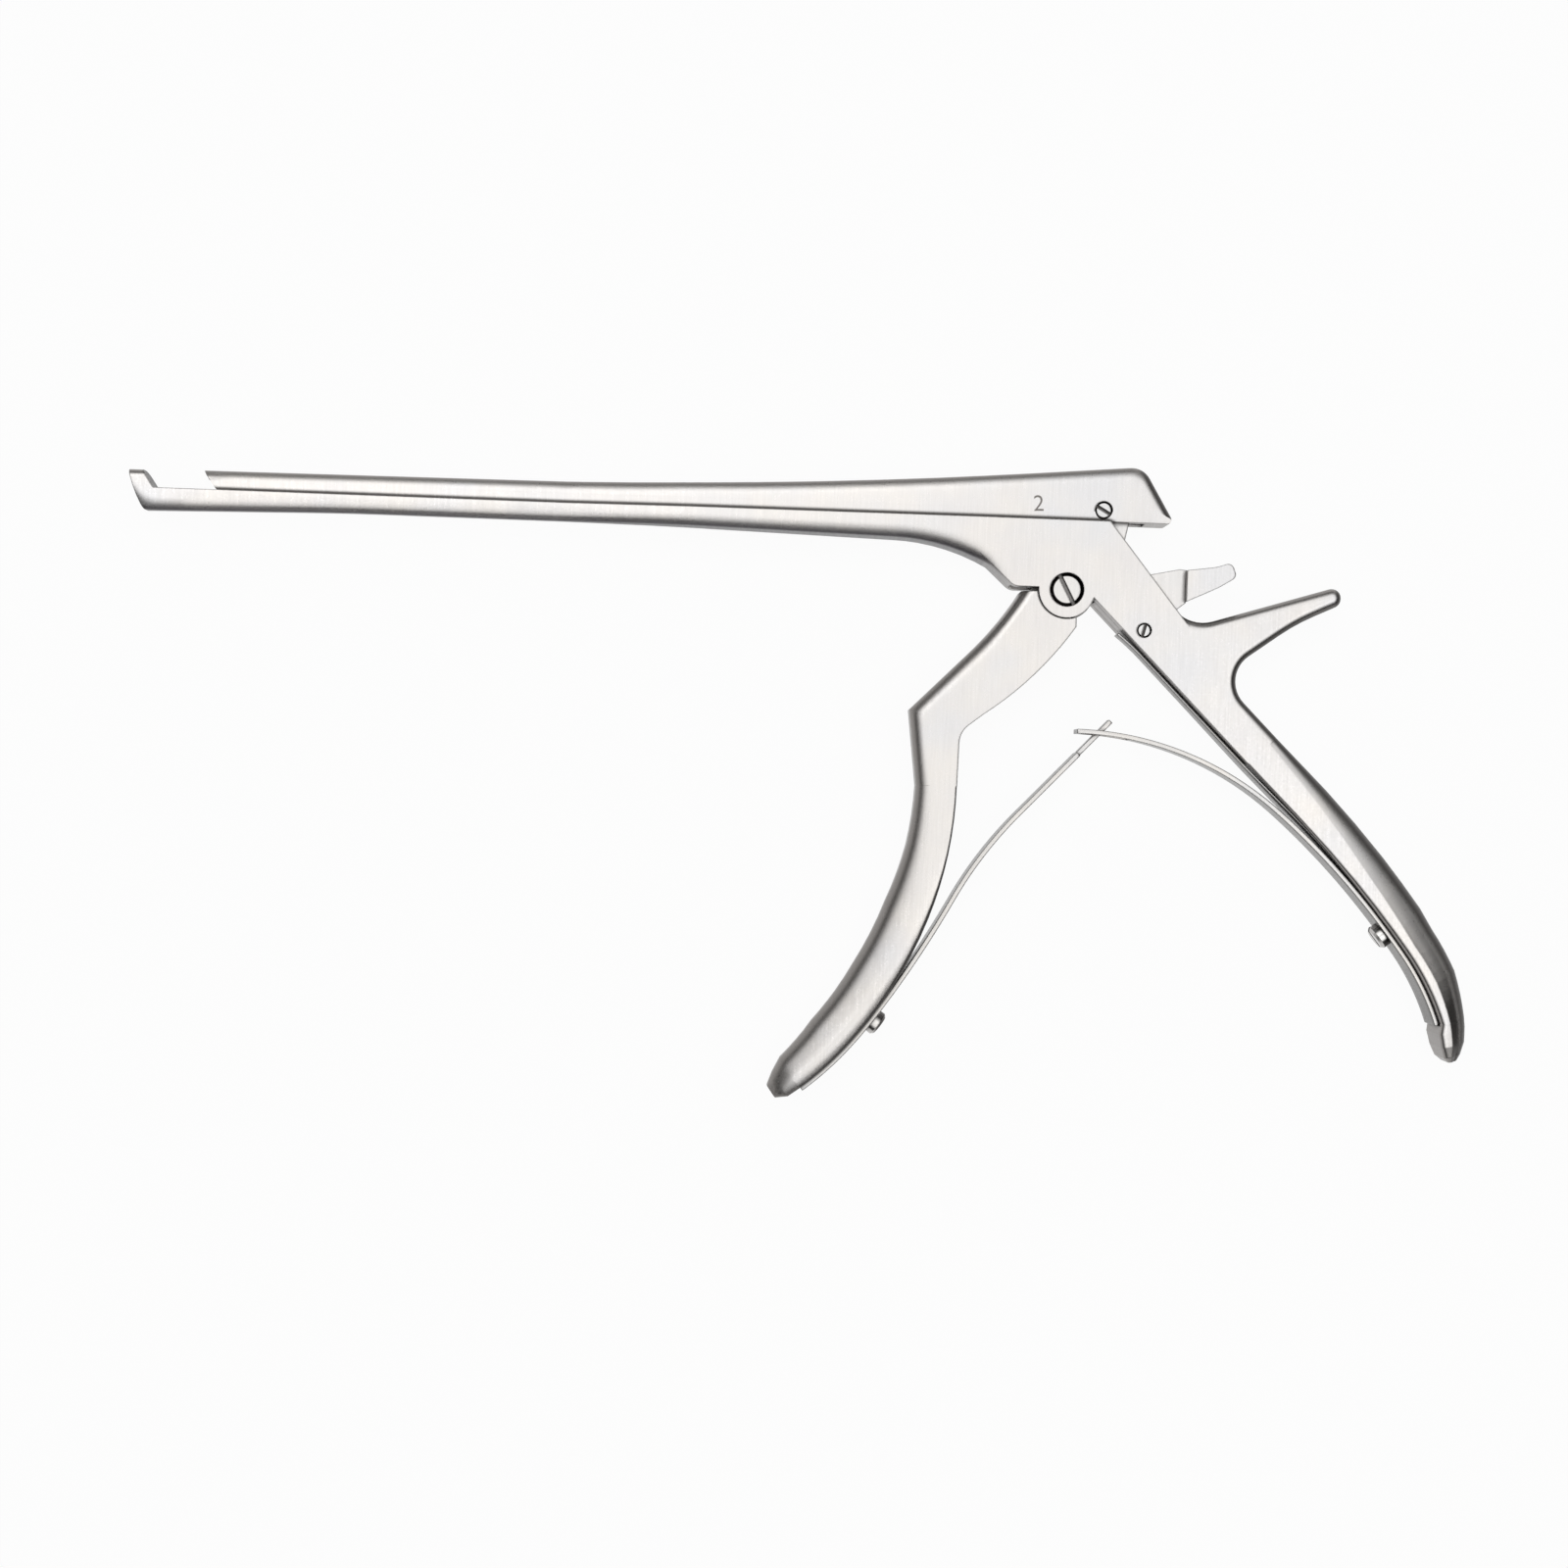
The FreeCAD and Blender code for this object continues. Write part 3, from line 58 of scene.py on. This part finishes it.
# The colour sockets of a Mix node, which share their names with its other sockets
MIX_A = 6
MIX_B = 7
MIX_RESULT = 2
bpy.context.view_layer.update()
scene = bpy.context.scene


class Nodes:
    """A small helper that adds and joins the nodes of one material."""

    def __init__(self, name):
        self.material = bpy.data.materials.new(name)
        self.material.use_nodes = True
        self.tree = self.material.node_tree
        self.tree.nodes.clear()
        self.output = self.tree.nodes.new("ShaderNodeOutputMaterial")

    def add(self, kind, settings=None, **inputs):
        node = self.tree.nodes.new(f"ShaderNode{kind}")
        for key, value in (settings or {}).items():
            setattr(node, key, value)
        for key, value in inputs.items():
            self.join(node.inputs[key.replace("_", " ")], value)
        return node

    def join(self, socket, value):
        if isinstance(value, bpy.types.NodeSocket):
            self.tree.links.new(value, socket)
        else:
            socket.default_value = value

    def noise(self, coordinates, scale, detail=2.0, stretch=None):
        """Noise over the object. stretch scales each axis on its own."""
        if stretch is not None:
            coordinates = self.add("Mapping", Vector=coordinates, Scale=stretch).outputs["Vector"]
        return self.add("TexNoise", Vector=coordinates, Scale=scale, Detail=detail).outputs["Fac"]

    def ranged(self, value, low, high, first=0.3, last=0.7):
        """value, taken between first and last, as a number between low and high."""
        node = self.add("MapRange", Value=value)
        node.inputs["From Min"].default_value = first
        node.inputs["From Max"].default_value = last
        node.inputs["To Min"].default_value = low
        node.inputs["To Max"].default_value = high
        return node.outputs["Result"]

    def mixed(self, share, a, b):
        node = self.add("Mix", {"data_type": "RGBA"})
        self.join(node.inputs["Factor"], share)
        self.join(node.inputs[MIX_A], a)
        self.join(node.inputs[MIX_B], b)
        return node.outputs[MIX_RESULT]

    def times(self, a, b):
        node = self.add("Math", {"operation": "MULTIPLY"})
        self.join(node.inputs[0], a)
        self.join(node.inputs[1], b)
        return node.outputs["Value"]

    def along(self, vector, way):
        """How far vector points that way, from -1 to 1."""
        node = self.add("VectorMath", {"operation": "DOT_PRODUCT"})
        self.join(node.inputs[0], vector)
        self.join(node.inputs[1], way)
        return node.outputs["Value"]

    def bevel(self, radius, samples=6):
        """The surface's normal, as if its edges were rounded over that radius."""
        return self.add("Bevel", {"samples": samples}, Radius=radius).outputs["Normal"]

    def own(self, normal):
        """A normal of the scene's, in the object's own axes."""
        turned = self.add(
            "VectorTransform", {"vector_type": "NORMAL", "convert_from": "WORLD", "convert_to": "OBJECT"},
            Vector=normal,
        )
        unit = self.add("VectorMath", {"operation": "NORMALIZE"})
        self.join(unit.inputs[0], turned.outputs["Vector"])
        return unit.outputs["Vector"]


UP = (0.0, 0.0, 1.0)
SHADED_SIDE = (1.0, 0.0, 0.0)
WHITE = (1.0, 1.0, 1.0, 1.0)
# Painted shade: the near-black that slots, gaps and sharp edges are darkened with
PAINTED_SHADE = (0.085, 0.08, 0.077, 1.0)
STROKE_TONE = (0.35, 0.33, 0.32, 1.0)
# How far painted shade reaches from a sharp edge, on every side and on the shaded side, and how narrow a gap
# gets painted shade
OUTLINE = 0.2 * MM
SHADED_OUTLINE = 0.6 * MM
GAP_REACH = 1.3 * MM


class Sweep:
    """Edges that face one way, shaded as if polished round over a reach, with a dark tone at the end that is
    a painted dark
    reflection: in full up to one place on an axis, and not at all beyond another. Lengths are in
    millimetres."""

    def __init__(self, reach, way, axis, full, none, tone):
        self.reach = reach * MM
        self.way = way
        self.axis = axis
        self.full = full * MM
        self.none = none * MM
        self.tone = (*tone, 1.0)


def steel(name, clean, warm, cool, roughness, grain, stroke, edge, painted_slope_shade, sweeps=(), square=None):
    """Stainless steel. Its flats are bright, with cloudy stains and fine grinding strokes. Shade is painted
    into
    its colour: darker where the surface turns down, and dark in slots and gaps and along sharp edges, most
    on the shaded side. square is the way of edges whose small rounding is shaded as flat, without painted
    slope or edge shade."""
    n = Nodes(name)
    coordinates = n.add("TexCoord")
    place = coordinates.outputs["Object"]
    strokes = n.noise(place, 1.0, 2.0, stroke)
    grit = n.noise(place, 2600.0, 2.0)
    stains = n.mixed(n.ranged(n.noise(place, 95.0, 3.0), 0.0, 1.0), (*clean, 1.0), (*warm, 1.0))
    stains = n.mixed(n.ranged(n.noise(place, 60.0, 2.0), 0.0, 0.9, 0.45, 0.7), stains, (*cool, 1.0))
    stains = n.mixed(n.ranged(strokes, 0.0, 0.08), stains, STROKE_TONE)

    face = coordinates.outputs["Normal"]
    rounded = n.bevel(edge * MM)
    # A mask of painted shade along sharp edges, wider on the shaded side
    crisp = n.ranged(n.along(n.own(n.bevel(OUTLINE)), face), 0.0, 1.0, 0.72, 0.92)
    shaded = n.along(n.own(n.bevel(SHADED_OUTLINE)), SHADED_SIDE)
    crisp = n.times(crisp, n.ranged(shaded, 1.0, 0.0, 0.15, 0.42))
    # Painted shade for where the surface turns down, with the sweeps' painted dark reflections mixed in
    # below
    turned = (*painted_slope_shade, 1.0)
    for sweep in sweeps:
        wide = n.bevel(sweep.reach, samples=8)
        share = n.ranged(n.along(n.own(wide), sweep.way), 0.0, 1.0, 0.02, 0.25)
        spot = n.add("SeparateXYZ", Vector=place).outputs[sweep.axis]
        share = n.times(share, n.ranged(spot, 1.0, 0.0, sweep.full, sweep.none))
        rounded = n.mixed(share, rounded, wide)
        # A painted dark reflection along the swept edges
        turned = n.mixed(share, turned, sweep.tone)
    if square is not None:
        share = n.times(
            n.ranged(n.along(face, square), 0.0, 1.0, 0.02, 0.06),
            n.ranged(n.along(face, UP), 0.0, 1.0, 0.22, 0.3),
        )
        rounded = n.mixed(share, rounded, (*UP, 1.0))
        crisp = n.mixed(share, crisp, WHITE)
    level = n.add("Math", {"operation": "ABSOLUTE"}, Value=n.along(n.own(rounded), UP)).outputs["Value"]
    room = n.add("AmbientOcclusion", {"samples": 8}, Distance=GAP_REACH).outputs["AO"]
    # Painted shade: the stains darken to the slope shade where the surface turns down
    tone = n.mixed(n.ranged(level, 0.0, 1.0, 0.82, 0.988), turned, stains)
    # Painted shade in slots and gaps, from ambient occlusion, and along sharp edges
    tone = n.mixed(n.times(n.ranged(room, 0.0, 1.0, 0.4, 0.85), crisp), PAINTED_SHADE, tone)

    low, high = roughness
    rough = n.times(n.ranged(grit, low, high), n.ranged(strokes, 0.92, 1.1))
    bump = n.add("Bump", Strength=grain, Distance=0.02 * MM, Height=n.times(grit, strokes), Normal=rounded)
    shader = n.add("BsdfPrincipled", Base_Color=tone, Roughness=rough, Normal=bump.outputs["Normal"])
    shader.inputs["Metallic"].default_value = 1.0
    n.join(n.output.inputs["Surface"], shader.outputs["BSDF"])
    return n.material


ACROSS = (3000.0, 120.0, 120.0)
LENGTHWISE = (300.0, 300.0, 4000.0)


def satin(name, **extra):
    return steel(
        name, clean=(0.80, 0.775, 0.765), warm=(0.85, 0.815, 0.78), cool=(0.78, 0.775, 0.79),
        roughness=(0.27, 0.36), grain=0.3, stroke=ACROSS, edge=0.34, painted_slope_shade=(0.29, 0.275, 0.265), **extra,
    )


FINISHES = {
    "satin_steel": satin("satin_steel_skin"),
    "bright_steel": steel(
        "bright_steel_skin", clean=(0.83, 0.81, 0.79), warm=(0.88, 0.86, 0.83), cool=(0.80, 0.80, 0.81),
        roughness=(0.14, 0.2), grain=0.1, stroke=ACROSS, edge=0.1, painted_slope_shade=(0.5, 0.485, 0.475),
    ),
    "spring_steel": steel(
        "spring_steel_skin", clean=(0.70, 0.68, 0.66), warm=(0.75, 0.72, 0.69), cool=(0.68, 0.68, 0.69),
        roughness=(0.2, 0.3), grain=0.08, stroke=LENGTHWISE, edge=0.28, painted_slope_shade=(0.13, 0.125, 0.12),
    ),
}

# The long edges of the shafts and handles are shaded as if polished further round than the rest, with a
# painted dark reflection along them
UNDERSIDE = Sweep(
    reach=4.5, way=(0.25, -0.97, 0.0), axis="X", full=-18.0, none=-10.0, tone=(0.07, 0.066, 0.072),
)
REAR_BACK = Sweep(
    reach=4.5, way=(0.75, 0.65, 0.0), axis="Y", full=-42.0, none=-22.0, tone=(0.3, 0.285, 0.275),
)
SLIDER_BACK = Sweep(
    reach=3.2, way=(0.0, 1.0, 0.0), axis="X", full=32.0, none=40.0, tone=(0.26, 0.245, 0.235),
)
FRONT_BACK = Sweep(
    reach=3.6, way=(-0.9, 0.45, 0.0), axis="Y", full=-12.0, none=-5.0, tone=(0.26, 0.245, 0.235),
)
FRONT_INSIDE = Sweep(
    reach=4.0, way=(0.85, -0.5, 0.0), axis="Y", full=-80.0, none=-50.0, tone=(0.2, 0.19, 0.18),
)
SWEPT_SKINS_WITH_PAINTED_REFLECTION = {
    "main_frame": satin("frame_skin", sweeps=(UNDERSIDE, REAR_BACK)),
    "slider_shaft": satin("slider_skin", sweeps=(SLIDER_BACK,), square=(0.0, -1.0, 0.0)),
    "trigger_handle": satin("trigger_skin", sweeps=(FRONT_BACK, FRONT_INSIDE)),
}

slots = {part["node"]: part["material_slot"] for part in frame["record"]["subparts"]}
for name, node in frame["nodes"].items():
    node.data.materials.clear()
    node.data.materials.append(SWEPT_SKINS_WITH_PAINTED_REFLECTION.get(name, FINISHES[slots[name]]))


class Knot:
    """A point of a route in millimetres, with the direction of travel there in degrees."""

    def __init__(self, x, y, heading):
        self.place = Vector((x, y))
        self.heading = heading
        turn = math.radians(heading)
        self.along = Vector((math.cos(turn), math.sin(turn)))
        self.left = Vector((-self.along.y, self.along.x))

    def ahead(self, length, offset=0.0):
        place = self.place + self.along * length + self.left * offset
        return Knot(place.x, place.y, self.heading)

    def bend(self, radius, turn):
        """The far end of an arc. A positive turn goes to the left."""
        centre = self.place + self.left * math.copysign(radius, turn)
        arm = self.place - centre
        angle = math.radians(turn)
        x = arm.x * math.cos(angle) - arm.y * math.sin(angle)
        y = arm.x * math.sin(angle) + arm.y * math.cos(angle)
        return Knot(centre.x + x, centre.y + y, self.heading + turn)

    def back(self):
        return Knot(self.place.x, self.place.y, self.heading + 180)


SLACK = 1e-6


class Strip:
    """The centre line of a leaf, kept as legs that can be walked to any length along it."""

    def __init__(self, start):
        self.end = start
        self.legs = []
        self.length = 0.0

    def straight(self, length):
        return self._leg(length, lambda knot, share: knot.ahead(length * share))

    def bend(self, radius, turn):
        length = radius * math.radians(abs(turn))
        return self._leg(length, lambda knot, share: knot.bend(radius, turn * share) if share else knot)

    def _leg(self, length, walk):
        self.legs.append((self.length, length, self.end, walk))
        self.end = walk(self.end, 1.0)
        self.length += length
        return self

    def at(self, distance):
        for first, length, knot, walk in self.legs:
            if distance <= first + length + SLACK:
                return walk(knot, (distance - first) / length)
        return self.end


def stations(length, marks, step=1.2):
    """Distances along a leaf, close enough for a smooth bend, with each mark among them."""
    places = sorted({0.0, length, *marks})
    found = [0.0]
    for a, b in zip(places, places[1:]):
        parts = max(1, math.ceil((b - a) / step))
        found += [a + (b - a) * part / parts for part in range(1, parts + 1)]
    return found


SHARP = math.radians(30)
SMOOTH = math.radians(35)


def leaf(name, line, thickness, half_width, cut=None, opening=None, marks=(), edge=0.12):
    """A leaf spring as one bent strip. cut is the width of the middle one of its three columns, and
    opening(distance, n) says whether column n is cut away there."""
    distances = stations(line.length, marks)
    mesh = bmesh.new()
    rows = []
    for distance in distances:
        knot = line.at(distance)
        half = half_width(distance)
        row = []
        for across in (-half, half) if cut is None else (-half, -cut / 2, cut / 2, half):
            pair = []
            for side in (-0.5, 0.5):
                place = knot.place + knot.left * side * thickness
                pair.append(mesh.verts.new((place.x * MM, place.y * MM, (MIDDLE + across) * MM)))
            row.append(pair)
        rows.append(row)
    count = len(rows[0]) - 1

    def solid(i, n):
        if not (0 <= i < len(distances) - 1 and 0 <= n < count):
            return False
        return opening is None or not opening((distances[i] + distances[i + 1]) / 2, n)

    for i in range(len(distances) - 1):
        a, b = rows[i], rows[i + 1]
        for n in range(count):
            if not solid(i, n):
                continue
            for side in (0, 1):
                mesh.faces.new((a[n][side], b[n][side], b[n + 1][side], a[n + 1][side]))
            for edge_n, beside in ((n, n - 1), (n + 1, n + 1)):
                if not solid(i, beside):
                    mesh.faces.new((a[edge_n][0], b[edge_n][0], b[edge_n][1], a[edge_n][1]))
            for row, beside in ((a, i - 1), (b, i + 1)):
                if not solid(beside, n):
                    mesh.faces.new((row[n][0], row[n + 1][0], row[n + 1][1], row[n][1]))
    bmesh.ops.recalc_face_normals(mesh, faces=mesh.faces)
    sharp = [e for e in mesh.edges if len(e.link_faces) == 2 and e.calc_face_angle() > SHARP]
    bmesh.ops.bevel(
        mesh, geom=sharp, offset=edge * MM, segments=2, profile=0.6, affect="EDGES", clamp_overlap=True,
    )
    loose = [v for v in mesh.verts if not v.link_faces]
    bmesh.ops.delete(mesh, geom=loose, context="VERTS")
    data = bpy.data.meshes.new(name)
    mesh.to_mesh(data)
    mesh.free()
    for polygon in data.polygons:
        polygon.use_smooth = True
    data.set_sharp_from_angle(angle=SMOOTH)
    data.materials.append(FINISHES["spring_steel"])
    piece = bpy.data.objects.new(name, data)
    scene.collection.objects.link(piece)
    return piece


def tapered(first, last, a, b):
    """Half widths that go from a at first to b at last."""
    def half_width(distance):
        share = min(1.0, max(0.0, (distance - first) / (last - first)))
        return a + (b - a) * share

    return half_width


def on_handle(clamp, side, arcs):
    """The part of a leaf that lies on its handle, from its foot up to the clamp. side is how far its middle
    is off the handle's line, and arcs are the line's radii and turns from the clamp down to the foot."""
    down = Strip(clamp.ahead(0, side))
    for radius, turn in arcs:
        down.bend(radius + side, turn)
    up = Strip(down.end.back())
    for radius, turn in reversed(arcs):
        up.bend(radius + side, -turn)
    return up


def in_metres(place):
    return (place.x * MM, place.y * MM, MIDDLE * MM)


# The rear handle's inner line down to its clamp, and the front handle's clamp. Every bend here is a radius
# in millimetres and a turn in degrees.
GRIP_START = 62.3
GRIP_OFFSET = 2.71
GRIP_RADIUS = 236.0
FRONT_RADIUS = 80.0
GRIP_TURN = -2.9
grip = Knot(0, 0, -45).ahead(GRIP_START, GRIP_OFFSET)
rear_clamp = grip.bend(GRIP_RADIUS, -4.0).bend(GRIP_RADIUS, GRIP_TURN)
front_clamp = Knot(-19.65, -38.5, -90).bend(75.0, -20.0).bend(FRONT_RADIUS, -16.0)
REAR_ARCS = ((GRIP_RADIUS, -1.1), (50.0, -9.0), (50.0, -9.0))
FRONT_ARCS = ((FRONT_RADIUS, -6.0), (60.0, -10.0))

LEAF = 0.9
LEAF_GAP = 0.03
CLAMP_HALF_WIDTH = 3.0
END_HALF_WIDTH = 2.5
TAPER_START = 4.0
SLOT_WIDTH = 3.4
SLOT_LENGTH = 9.0
SLOT_END_WALL = 1.3
rear = on_handle(rear_clamp, -LEAF / 2 - LEAF_GAP, REAR_ARCS)
rear_clamped = rear.length
rear.bend(150.0, 12.0).bend(61.1, 40.0)
slot_to = rear.length - SLOT_END_WALL
slot_from = slot_to - SLOT_LENGTH


def in_slot(distance, column):
    return column == 1 and slot_from < distance < slot_to


rear_leaf = leaf(
    "rear_leaf", rear, LEAF,
    tapered(rear_clamped + TAPER_START, slot_from, CLAMP_HALF_WIDTH, END_HALF_WIDTH),
    SLOT_WIDTH, in_slot, (slot_from, slot_to),
)
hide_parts("rear_leaf_spring")
in_metres(rear.at(slot_from).place)
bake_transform(rear_leaf)

THIN = 0.5
THIN_SEAT = 0.5
THIN_OFFSET = THIN_SEAT - THIN / 2 - LEAF_GAP
thin = on_handle(rear_clamp, THIN_OFFSET, REAR_ARCS).bend(GRIP_RADIUS + THIN_OFFSET, -GRIP_TURN)
thin.bend(168.0, 5.6).straight(12.0).bend(100.0, -1.6).straight(28.3).bend(45.0, 8.0)
thin_leaf = leaf(
    "latch_leaf", thin, THIN, tapered(thin.length - 55.0, thin.length - 20.0, 2.8, 1.8), edge=0.08,
)
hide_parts("latch_leaf_spring")
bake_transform(thin_leaf)

SEAT_DEPTH = 0.15
TONGUE_LENGTH = 9.0
TONGUE_WIDTH = 2.6
front = on_handle(front_clamp, LEAF / 2 - SEAT_DEPTH + LEAF_GAP, FRONT_ARCS)
front_clamped = front.length
front.bend(200.0, 8.0).bend(80.0, -15.0).straight(25.4)
tongue_from = front.length - TONGUE_LENGTH


def beside_tongue(distance, column):
    return column != 1 and distance > tongue_from


front_leaf = leaf(
    "front_leaf", front, LEAF,
    tapered(front_clamped + TAPER_START, tongue_from, CLAMP_HALF_WIDTH, END_HALF_WIDTH),
    TONGUE_WIDTH, beside_tongue, (tongue_from,),
)
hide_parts("front_leaf_spring")
in_metres(front.at(tongue_from).place)
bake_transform(front_leaf)


# The bite's size in millimetres, etched on the slider's side beside its screw
def etched_skin():
    n = Nodes("etched_skin")
    place = n.add("TexCoord").outputs["Object"]
    bite_marks = n.noise(place, 5000.0, 2.0)
    tone = n.mixed(n.ranged(bite_marks, 0.0, 1.0), (0.17, 0.155, 0.145, 1.0), (0.4, 0.37, 0.35, 1.0))
    bump = n.add("Bump", Strength=0.4, Distance=0.01 * MM, Height=bite_marks)
    shader = n.add("BsdfPrincipled", Base_Color=tone, Normal=bump.outputs["Normal"])
    shader.inputs["Metallic"].default_value = 0.6
    shader.inputs["Roughness"].default_value = 0.6
    n.join(n.output.inputs["Surface"], shader.outputs["BSDF"])
    return n.material


NUMERAL_HEIGHT = 3.2
NUMERAL_AT = (-7.1, 14.8)
# The share of a font's size that its numerals stand tall, and how much their strokes are thinned
FIGURE_SHARE = 0.73
THINNING = 0.02
SUNK = 0.002
text = bpy.data.curves.new("size_numeral", "FONT")
text.body = "2"
text.size = NUMERAL_HEIGHT / FIGURE_SHARE * MM
text.offset = -THINNING * MM
text.resolution_u = 6
text.extrude = 2 * SUNK * MM
numeral = bpy.data.objects.new("size_numeral", text)
numeral.location = (NUMERAL_AT[0] * MM, NUMERAL_AT[1] * MM, (THICKNESS - SUNK) * MM)
numeral.rotation_euler = (0.0, 0.0, TILT)
text.materials.append(etched_skin())
scene.collection.objects.link(numeral)
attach(numeral, "slider")


FLOOR = 3.0
FLOOR_GLOW = 0.95


def table_skin():
    """A pale table. The camera sees it almost white, also in reflections and through clear things."""
    n = Nodes("table_skin")
    place = n.add("TexCoord").outputs["Object"]
    grain = n.noise(place, 900.0, 2.0)
    tone = n.mixed(n.ranged(grain, 0.0, 1.0), (0.86, 0.86, 0.86, 1.0), (0.88, 0.88, 0.88, 1.0))
    cloth = n.add("BsdfDiffuse", Color=tone)
    glow = n.add("Emission", Color=WHITE, Strength=1.0)
    ray = n.add("LightPath")
    seen = ray.outputs["Is Camera Ray"]
    for other in ("Is Glossy Ray", "Is Transmission Ray"):
        either = n.add("Math", {"operation": "MAXIMUM"})
        n.join(either.inputs[0], seen)
        n.join(either.inputs[1], ray.outputs[other])
        seen = either.outputs["Value"]
    share = n.times(seen, FLOOR_GLOW)
    mix = n.add("MixShader")
    n.join(mix.inputs[0], share)
    n.join(mix.inputs[1], cloth.outputs["BSDF"])
    n.join(mix.inputs[2], glow.outputs["Emission"])
    n.join(n.output.inputs["Surface"], mix.outputs["Shader"])
    return n.material


data = bpy.data.meshes.new("table_top")
half = FLOOR / 2
data.from_pydata(
    [(-half, -half, 0), (half, -half, 0), (half, half, 0), (-half, half, 0)], [], [(0, 1, 2, 3)],
)
data.materials.append(table_skin())
table = bpy.data.objects.new("table_top", data)
scene.collection.objects.link(table)


# A studio: a bright ceiling over the table, pale at the horizon, with a dark band round it between the two
# that polished edges show. Each wall is a list of heights (0 the horizon, 1 overhead) and their greys.
SPUR_WALL = [(0.0, 0.82), (0.14, 0.72), (0.28, 0.2), (0.55, 0.2), (0.72, 0.6), (0.86, 0.93), (1.0, 1.0)]
HANDLE_WALL = [(0.0, 0.82), (0.14, 0.6), (0.24, 0.05), (0.6, 0.05), (0.76, 0.5), (0.88, 0.93), (1.0, 1.0)]


def studio():
    world = bpy.data.worlds.new("studio")
    scene.world = world
    world.use_nodes = True
    tree = world.node_tree
    tree.nodes.clear()
    coordinates = tree.nodes.new("ShaderNodeTexCoord")
    split = tree.nodes.new("ShaderNodeSeparateXYZ")
    tree.links.new(coordinates.outputs["Generated"], split.inputs["Vector"])
    turn = tree.nodes.new("ShaderNodeMapRange")
    turn.inputs["From Min"].default_value = -0.5
    turn.inputs["From Max"].default_value = 0.5
    tree.links.new(split.outputs["Y"], turn.inputs["Value"])
    room = tree.nodes.new("ShaderNodeMix")
    room.data_type = "RGBA"
    tree.links.new(turn.outputs["Result"], room.inputs["Factor"])
    for socket, stops in ((room.inputs[MIX_A], HANDLE_WALL), (room.inputs[MIX_B], SPUR_WALL)):
        ramp = tree.nodes.new("ShaderNodeValToRGB")
        tree.links.new(split.outputs["Z"], ramp.inputs["Fac"])
        elements = ramp.color_ramp.elements
        while len(elements) < len(stops):
            elements.new(0.5)
        for element, (position, grey) in zip(elements, stops):
            element.position = position
            element.color = (grey, grey, grey * 0.99, 1.0)
        tree.links.new(ramp.outputs["Color"], socket)
    sky = tree.nodes.new("ShaderNodeBackground")
    tree.links.new(room.outputs[MIX_RESULT], sky.inputs["Color"])
    output = tree.nodes.new("ShaderNodeOutputWorld")
    tree.links.new(sky.outputs["Background"], output.inputs["Surface"])


studio()

TARGET = Vector((-0.05, -0.04, 0.0))


def lamp(name, place, size, power):
    light = bpy.data.lights.new(name, "AREA")
    light.shape = "RECTANGLE"
    light.size, light.size_y = size
    light.energy = power
    holder = bpy.data.objects.new(name, light)
    holder.location = place
    holder.rotation_euler = (TARGET - Vector(place)).to_track_quat("-Z", "Y").to_euler()
    scene.collection.objects.link(holder)


lamp("key_softbox", (-0.3, 0.45, 0.95), (0.9, 0.7), 1.2)
lamp("fill_softbox", (0.45, -0.3, 0.95), (0.8, 0.8), 0.8)

# The camera looks straight down from this distance, in metres, above mid-thickness
DISTANCE = 0.365
HALF_VIEW = 0.152
camera_data = bpy.data.cameras.new("photo_camera")
camera_data.sensor_width = 36.0
camera_data.angle = 2 * math.atan(HALF_VIEW / DISTANCE)
camera = bpy.data.objects.new("photo_camera", camera_data)
camera.location = (-0.05279, -0.03925, DISTANCE + MIDDLE * MM)
camera.rotation_euler = (0.0, 0.0, TILT)
scene.collection.objects.link(camera)
scene.camera = camera
scene.view_settings.view_transform = "Standard"
